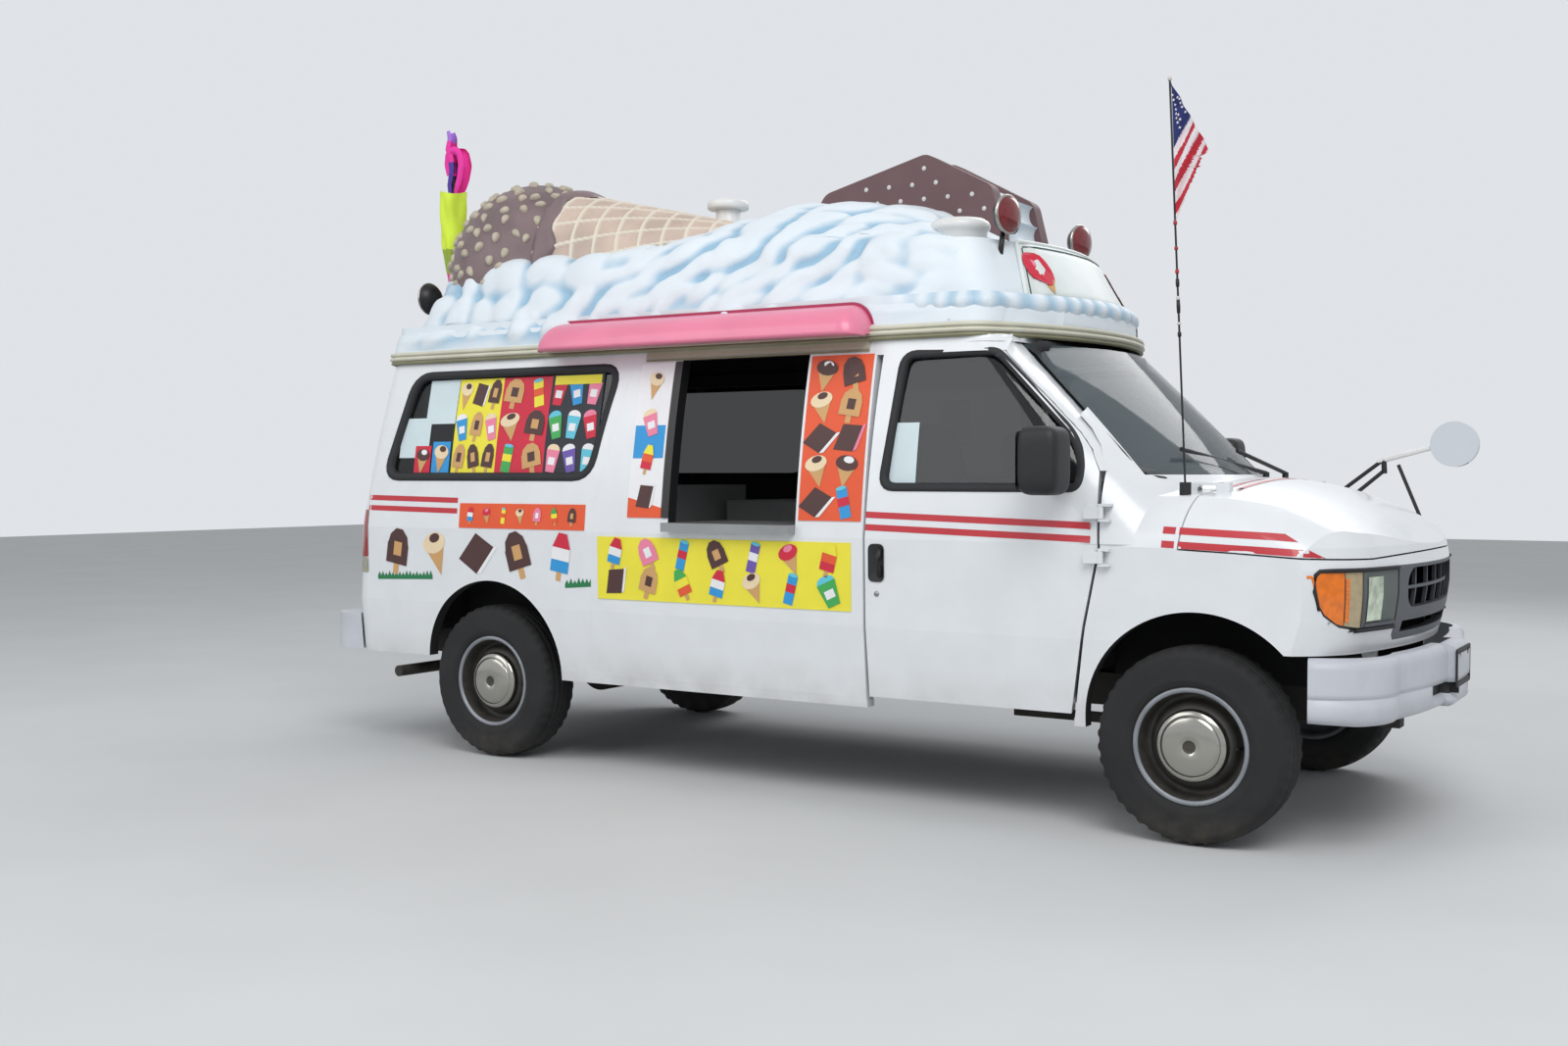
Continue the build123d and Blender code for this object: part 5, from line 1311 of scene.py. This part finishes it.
# Papers behind the glass and on the shelves
label("door_paper", right_skin("door_glass_right", -1.32, -0.46, 1.34, 1.87), (-1.285, -1.16, 1.345, 1.60),
      inks["paper"], 6, 6, 0.002, "front_door_right")
far_glass_skin = Skin(("glass",), 1, LEFT, (at(-2.4), at(-1.5)), (1.38, 1.85), 0.5, 0.03)
label("far_paper", far_glass_skin, (-1.98, -1.80, 1.55, 1.78), inks["paper"], 6, 6, -0.012)
shelf_papers = (("paper", (-2.06, -1.93, 1.19, 1.40), -0.30), ("choc", (-1.90, -1.80, 1.19, 1.38), -0.30),
                ("red", (-1.90, -1.80, 1.33, 1.38), -0.302))
for number, (ink, (rear, front, low, high), y) in enumerate(shelf_papers):
    corners = [(x, y, z) for x, z in box(at(rear), low, at(front), high)]
    piece(f"shelf_paper_{number}", corners, [(0, 1, 2, 3)], inks[ink])

# Strips over and beside the serving opening
label("hatch_header", body_skin[RIGHT], (-2.60, -1.42, 1.917, 1.955), header_look, 30, 3, 0.006)
label("hatch_gutter", body_skin[RIGHT], (-2.60, -1.42, 1.904, 1.914), rail_olive, 30, 2, 0.004)
label("hatch_post", body_skin[RIGHT], (-2.425, -2.385, 1.19, 1.90), post_look, 3, 20, 0.007)

# Awning: quarter-round moulding with rounded upper corners and a flange along its outline
awning_low, awning_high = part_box("awning")
wall_y = -0.823
lip_y = awning_low.y + 0.001
foot_z = awning_low.z + 0.005
corner_radius = 0.10
end_steps = corner_radius * (1 - np.cos(np.linspace(0, math.pi / 2, 14)))
middle_steps = np.linspace(awning_low.x + 0.14, awning_high.x - 0.14, 40)
awning_x = np.concatenate([awning_low.x + end_steps, middle_steps, (awning_high.x - end_steps)[::-1]])
round_steps = 16
shell_points, outline = [], []
for x in awning_x:
    depth = min(1.0, min(x - awning_low.x, awning_high.x - x) / corner_radius)
    share = math.sqrt(max(0.0, 1 - (1 - depth) ** 2))
    reach_out = (lip_y - wall_y) * (0.55 + 0.45 * share)
    tall = (awning_high.z - awning_low.z) * (0.10 + 0.90 * share)
    shell_points += [(x, wall_y, foot_z), (x, wall_y + reach_out * 0.96, foot_z)]
    for turn in np.linspace(0, math.pi / 2, round_steps):
        y = wall_y + reach_out * math.cos(turn) ** 0.85
        shell_points.append((x, y, awning_low.z + tall * math.sin(turn) ** 0.9))
    outline.append((x, awning_low.z + 0.985 * tall))
awning_shell = piece("awning_shell", shell_points, grid_faces(len(awning_x), round_steps + 2), awning_pink)
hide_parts("awning")
outline = np.array(outline)
way = unit_way(outline)
outer = outline + np.stack([-way[:, 1], way[:, 0]], axis=1) * 0.013
flange_rows = ((outline, -0.860), (outline, -0.872), (outer, -0.872), (outer, -0.860))
piece("awning_flange", [(x, y, z) for line, y in flange_rows for x, z in line],
      grid_faces(4, len(awning_x), wrap_rows=True), awning_flange, smooth=False)

# Warning lamps and horn

lamp_profile = [
    (0.0005, -0.050), (0.030, -0.049), (0.058, -0.036), (0.076, -0.014), (0.083, -0.002), (0.085, 0.004),
    (0.081, 0.010), (0.076, 0.010), (0.066, 0.020), (0.048, 0.029), (0.024, 0.034), (0.0005, 0.036),
]
lamp_tints = [0] * 4 + [1] * 3 + [2] * 4
lamp_looks = [lamp_shell, chrome, lamp_red]
for word, ahead, y, z, facing, aside in (
    ("front_right", -0.940, -0.55, 2.484, 1, -0.25),
    ("front_left", -1.025, 0.48, 2.500, 1, -0.25),
    ("rear_right", -4.200, -0.65, 2.310, -1, 0),
    ("rear_left", -4.200, 0.65, 2.310, -1, 0),
):
    turned(f"warning_lamp_{word}", lamp_profile, (at(ahead), y, z), (facing, aside, 0), lamp_looks,
           tints=lamp_tints)
    foot = Vector((at(ahead) - facing * 0.02, y, z - 0.07))
    stem = [foot, foot - Vector((facing * 0.01, 0, 0.07)), foot - Vector((facing * 0.02, 0, 0.16))]
    tube(f"warning_stem_{word}", stem, 0.012, lamp_shell)
horn_profile = [(0.010, -0.06), (0.016, -0.03), (0.028, 0.0), (0.050, 0.022), (0.056, 0.026), (0.050, 0.024),
                (0.020, 0.0), (0.0005, -0.02)]
horn = turned("warning_horn", horn_profile, (at(-1.01), -0.40, 2.478), (1, -0.2, 0), lamp_shell)
tube("warning_horn_stem", [(at(-1.03), -0.40, 2.46), (at(-1.03), -0.40, 2.34)], 0.010, lamp_shell)
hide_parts("warning_lamps")

# Sign

sign_skin = Skin(("roof_cap", "sign_board"), 0, 1, (-0.68, 0.68), (2.08, 2.40), 0.5, 0.02, bridge=False)
sign_edge = [(-0.575, 2.118), (0.575, 2.118), (0.440, 2.385), (-0.440, 2.385)]
sign_sheet = patch("sign_face", sign_skin, sign_edge[:2], [sign_edge[3], sign_edge[2]], sign_white,
                   columns=70, rows=16, lift=0.010)
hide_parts("sign_board")
sign_loop = rounded(sign_edge, 0.015)
frame_line = [sign_skin.at(u, v, 0.010) for u, v in closed_line(sign_loop, 159)]
tube("sign_frame", frame_line, 0.010, sign_white, closed=True, sides=8)
green_line = [sign_skin.at(u, v, 0.012) for u, v in closed_line(offset_loop(sign_loop, -0.022), 119)]
tube("sign_line", green_line, 0.003, sign_green, closed=True, sides=6)
sign_scoop = [("red", oval(0, 0.1, 0.5, 0.4, 20)), ("pink", oval(-0.16, 0.24, 0.13, 0.09, 12)),
              ("tan", [(-0.3, -0.16), (0, -0.5), (0.3, -0.16)])]
scoops = [(sign_scoop, side * 0.425, 2.245, 0.120, 0.185, 0) for side in (-1, 1)]
print_on("sign_print", sign_skin, scoops, 0.017)

# Roof vents

vent_top = (at(-2.675), -0.10, 2.712)
up_axis = (0, 0, 1)
vent_cap_points = [(0.0005, 0.060), (0.060, 0.058), (0.098, 0.048), (0.105, 0.036), (0.105, 0.012),
                   (0.098, 0.006), (0.064, 0.004)]
pipe_points = [(0.062, 0.02), (0.062, -0.10), (0.066, -0.105), (0.066, -0.13), (0.062, -0.135),
               (0.062, -0.33)]
fan_points = [(0.0005, 0.052), (0.060, 0.050), (0.108, 0.042), (0.128, 0.028), (0.135, 0.012),
              (0.132, -0.004), (0.120, -0.010), (0.118, -0.12)]
turned("vent_cap", vent_cap_points, vent_top, up_axis, pole_white)
vent = turned("vent_pipe", pipe_points, vent_top, up_axis, pole_white)
turned("fan_cover", fan_points, (at(-1.235), -0.40, 2.462), up_axis, pole_white)
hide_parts("roof_vents")

# Flag

hoist_top, hoist_low = np.array((-0.138, 2.872)), np.array((-0.116, 2.345))
flag_tip = np.array((0.012, 2.600))
tip_share = 0.484
canton_a, canton_b = np.array((-0.126, 2.629)), np.array((-0.070, 2.732))
stripe_way = (canton_b - canton_a) / np.linalg.norm(canton_b - canton_a)
stripe_down = np.array([stripe_way[1], -stripe_way[0]])
stripe_width = 0.0215
flag_rows, flag_columns = 90, 40
flag_y = -0.829
flag_rng = random.Random(4)
ragged = [flag_rng.uniform(0.80, 1.0) for _ in range(flag_rows + 1)]


def flag_place(row, column):
    """Point of the hanging flag: rows run down the mast, columns out from it."""
    s, t = row / flag_rows, column / flag_columns
    near_mast = hoist_top + (hoist_low - hoist_top) * s
    if s < tip_share:
        outer = hoist_top + (flag_tip - hoist_top) * (s / tip_share)
    else:
        outer = flag_tip + (hoist_low - flag_tip) * ((s - tip_share) / (1 - tip_share))
    share = t * (ragged[row] if s > tip_share + 0.02 else 1.0)
    here = near_mast + (outer - near_mast) * share
    along, down = (here - canton_a) @ stripe_way, (here - canton_a) @ stripe_down
    fold = 0.014 * math.sin(2 * math.pi * down / 0.075 + 9 * along) * min(1, t * 3)
    return (at(here[0]), flag_y + fold - 0.004, here[1])


def below_canton(x, z):
    """How far a place of the flag lies under the edge of its blue part."""
    return (np.array((x - axle_x, z)) - canton_a) @ stripe_down


def flag_tint(number, c):
    """Blue over the edge, then white and red bands in turn."""
    below = below_canton(c.x, c.z)
    if below < 0:
        return 0
    return 2 if int(below / stripe_width) % 2 == 0 else 1


flag_points = [flag_place(r, c) for r in range(flag_rows + 1) for c in range(flag_columns + 1)]
flag = piece("flag_cloth", flag_points, grid_faces(flag_rows + 1, flag_columns + 1),
             [flag_navy, flag_red, flag_white])
tint(flag, flag_tint)
star_points, star_faces = [], []
for k in range(26):
    row, column = 8 + (k * 13) % 36, 5 + (k * 11) % 32
    x, y, z = flag_points[row * (flag_columns + 1) + column]
    if below_canton(x, z) > -0.012:
        continue
    for out in (-0.0015, 0.0015):
        star_faces.append(tuple(range(len(star_points), len(star_points) + 10)))
        for m, turn in enumerate(turns(10)):
            size = 0.0065 if m % 2 == 0 else 0.0028
            star_points.append((x + size * math.sin(turn), y + out, z + size * math.cos(turn)))
piece("flag_stars", star_points, star_faces, flag_white, smooth=False)
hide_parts("flag")

# Windsock

sock_x, sock_y = at(-4.27), -0.40
sock_heights = np.linspace(2.41, 2.905, 44)
sock_sides = 72
sock_points = []
for z in sock_heights:
    radius = np.interp(z, [2.405, 2.50, 2.62, 2.78, 2.905], [0.026, 0.044, 0.060, 0.066, 0.072])
    for turn in turns(sock_sides):
        wave = 1 + 0.10 * math.sin(5 * turn + 9 * z) * math.sin(14 * z) + 0.05 * math.sin(3 * turn - 20 * z)
        sock_points.append((sock_x + radius * wave * math.cos(turn), sock_y + radius * wave * math.sin(turn),
                            z + 0.010 * math.sin(2 * turn)))
sock = piece("windsock_body", sock_points, grid_faces(len(sock_heights), sock_sides, wrap_columns=True),
             [sock_yellow, sock_yellow_shade, sock_pink])
# Pink foot, then the yellow cloth darker low down as painted shade, then plain yellow.
tint(sock, lambda number, c: 2 if c.z < 2.47 else 1 if c.z < 2.60 else 0)
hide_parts("windsock")


def ribbon(name, path, widths, looks, cuts):
    """Cloth band that follows a path in the (ahead, height) plane, cupped across its width."""
    rows, columns = 60, 25
    path = resample(path, rows)
    widths = np.interp(np.linspace(0, 1, rows), np.linspace(0, 1, len(widths)), widths)
    points = []
    for here, along, width in zip(path, unit_way(path), widths):
        for turn in np.linspace(-0.75 * math.pi, 0.75 * math.pi, columns):
            out = 0.5 * width * (1 - math.cos(turn)) * 0.7
            points.append((sock_x + here[0] + along[1] * out, sock_y + 0.5 * width * math.sin(turn),
                           here[1] - along[0] * out))
    made = piece(name, points, grid_faces(rows, columns), looks)
    tint(made, lambda number, c: sum(c.z > cut for cut in cuts))


arm_path = [(0.012, 2.855), (0.020, 2.92), (0.046, 2.99), (0.056, 3.05), (0.044, 3.10), (0.018, 3.105),
            (0.004, 3.06), (0.010, 3.00)]
tail_path = [(-0.020, 2.87), (-0.030, 2.95), (-0.012, 3.03), (-0.018, 3.09), (-0.040, 3.14), (-0.026, 3.20),
             (-0.034, 3.236)]
ribbon("windsock_arm", arm_path, (0.05, 0.075, 0.085, 0.08, 0.06), [sock_pink], ())
ribbon("windsock_tail", tail_path, (0.05, 0.06, 0.07, 0.075, 0.07, 0.05),
       [sock_purple, sock_pink, sock_violet], (3.07, 3.185))

# Tape round the whip
whip_foot, whip_tip = Vector((at(-0.078), -0.815, 1.330)), Vector((at(-0.146), -0.830, 2.890))
tapes = ((1.91, 0.018, black), (1.955, 0.010, tape_white), (2.00, 0.05, black), (2.05, 0.014, tape_white),
         (2.10, 0.03, black), (2.15, 0.016, tape_red), (2.24, 0.012, tape_red), (2.335, 0.016, tape_red),
         (2.882, 0.016, tape_white))
for number, (z, length, look) in enumerate(tapes):
    share = (z - whip_foot.z) / (whip_tip.z - whip_foot.z)
    here = whip_foot.lerp(whip_tip, share)
    end = whip_foot.lerp(whip_tip, share + length / 1.56)
    tube(f"whip_tape_{number}", [here, here.lerp(end, 0.5), end], [0.0065, 0.0075, 0.0065], look, sides=8)

# Red lines across the hood's rear edge
hood_top = Skin(("hood",), 2, 1, (at(-0.06), at(0.62)), (-0.76, 0.76), 1.0, 0.02)
for number, (ahead, half) in enumerate(((0.045, 0.70), (0.095, 0.66))):
    bow = [(ahead - 0.03 * (y / 0.7) ** 2, y) for y in np.linspace(-half, half, 50)]
    patch(f"hood_line_{number}", hood_top, line_at(*bow), line_at(*[(x + 0.020, y) for x, y in bow]),
          stripe_red, "hood", columns=50)


# Seats: crowned cushions on their pedestals

def cushion(name, centre, size, lean):
    """Crowned closed pad with pulled-in sides and a seam round its edge."""
    points = []
    rings, sides = 29, 48
    tip = Matrix.Rotation(math.radians(lean), 3, "Y")
    for ring in np.linspace(-math.pi / 2, math.pi / 2, rings):
        flat, up = signed_power(math.cos(ring), 0.30), signed_power(math.sin(ring), 0.75)
        pinch = 1 - 0.012 * math.exp(-(ring / 0.08) ** 2)
        for turn in turns(sides):
            x = signed_power(math.cos(turn), 0.35) * flat * pinch
            y = signed_power(math.sin(turn), 0.35) * flat * pinch
            channel = 0.02 * math.cos(y * 5 * math.pi) if abs(y) < 0.7 else 0
            crown = 1 + 0.12 * (1 - x * x) * (1 - y * y)
            z = (up * crown / 1.12 + channel * up) / 1.02
            points.append(Vector(centre) + tip @ Vector((x * size[0] / 2, y * size[1] / 2, z * size[2] / 2)))
    made = piece(name, points, grid_faces(rings, sides, wrap_columns=True), seat_cloth)
    return made


for side, word in SIDES:
    y = side * 0.525
    base = cushion(f"seat_base_{word}", (at(-1.065), y, 0.945), (0.52, 0.47, 0.13), -3)
    cushion(f"seat_back_{word}", (at(-1.288), y, 1.31), (0.14, 0.46, 0.60), -8)
    tube(f"seat_post_{word}", [(at(-1.065), y, 0.64), (at(-1.065), y, 0.88)], 0.15, under_black, sides=24)
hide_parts("seats")


# Door mirrors: rounded heads on short arms

def rounded_block(name, centre, size, look, body, power=0.42):
    """Closed block with generously rounded edges."""
    points = []
    rings, sides = 25, 40
    for ring in np.linspace(-math.pi / 2, math.pi / 2, rings):
        flat, up = signed_power(math.cos(ring), power), signed_power(math.sin(ring), power)
        for turn in turns(sides):
            x, y = signed_power(math.cos(turn), power) * flat, signed_power(math.sin(turn), power) * flat
            points.append([c + share * d / 2 for c, share, d in zip(centre, (x, y, up), size)])
    return piece(name, points, grid_faces(rings, sides, wrap_columns=True), look, body)


mirror_z = 1.4375
for side, word in SIDES:
    body, x, y = f"front_door_{word}", at(-0.515), side * 1.152
    head = rounded_block(f"mirror_head_{word}", (x, y, mirror_z), (0.165, 0.190, 0.262), black, body)
    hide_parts(f"door_mirror_{word}")
    arm = [(x, side * 0.985, 1.343), (x, side * 1.06, 1.345), (x, side * 1.12, 1.36)]
    tube(f"mirror_arm_{word}", arm, 0.022, black, body)
    glass_line = rounded(box(-0.080, -0.112, 0.080, 0.112), 0.03)
    glass_edge = [(x - 0.0815, y + u, mirror_z + v) for u, v in glass_line]
    glass_face = tuple(range(len(glass_edge)))
    piece(f"mirror_glass_{word}", glass_edge, [glass_face], mirror_face, body, smooth=False)


# Stage, light and camera

def soft_light(name, place, aim, power, size=6.0):
    """Square lamp in the studio, turned to what it lights."""
    light = bpy.data.lights.new(name, "AREA")
    light.energy = power
    light.size = size
    lamp = bpy.data.objects.new(name, light)
    scene.collection.objects.link(lamp)
    lamp.location = place
    lamp.rotation_euler = (Vector(aim) - Vector(place)).to_track_quat("-Z", "Y").to_euler()
    lamp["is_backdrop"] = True


def stage():
    """Pale floor, soft lamps and a plain world, none of it part of the object."""
    bpy.ops.mesh.primitive_plane_add(size=60, location=(0, 0, -0.002))
    floor = bpy.context.object
    floor.name = "floor"
    floor.data.materials.append(floor_look)
    floor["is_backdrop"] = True
    soft_light("key", (at(3.5), -7.0, 9.0), (at(-1.8), 0, 1.2), 620)
    soft_light("fill", (at(-6.0), -8.0, 6.0), (at(-1.8), 0, 1.2), 200)
    soft_light("back", (at(-1.0), 8.0, 8.0), (at(-1.8), 0, 1.5), 300)


def studio_world():
    """Plain world, brighter where the camera and reflections see it than as light."""
    world = bpy.data.worlds.new("studio")
    scene.world = world
    world.use_nodes = True
    tree = world.node_tree
    link = tree.links.new
    background = tree.nodes["Background"]
    background.inputs["Color"].default_value = (0.93, 0.96, 1.0, 1)
    path = add_node(tree, "LightPath")
    seen = add_node(tree, "Math")
    seen.operation = "MAXIMUM"
    strength = add_node(tree, "MapRange", To_Min=0.50, To_Max=0.80)
    link(path.outputs["Is Camera Ray"], seen.inputs[0])
    link(path.outputs["Is Glossy Ray"], seen.inputs[1])
    link(seen.outputs["Value"], strength.inputs["Value"])
    link(strength.outputs["Result"], background.inputs["Strength"])


def camera():
    """The photograph's viewpoint, worked out from the wheels and side stripes."""
    yaw, pitch = 0.5633, -0.0302
    data = bpy.data.cameras.new("photo")
    data.sensor_width = 36.0
    data.lens = 36.47
    made = bpy.data.objects.new("photo", data)
    scene.collection.objects.link(made)
    forward = Vector((-math.sin(yaw) * math.cos(pitch), math.cos(yaw) * math.cos(pitch), math.sin(pitch)))
    made.location = (at(1.865), -6.761, 1.3835)
    made.rotation_euler = forward.to_track_quat("-Z", "Y").to_euler()
    scene.camera = made


stage()
studio_world()
camera()
scene.view_settings.view_transform = "Standard"
low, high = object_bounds()
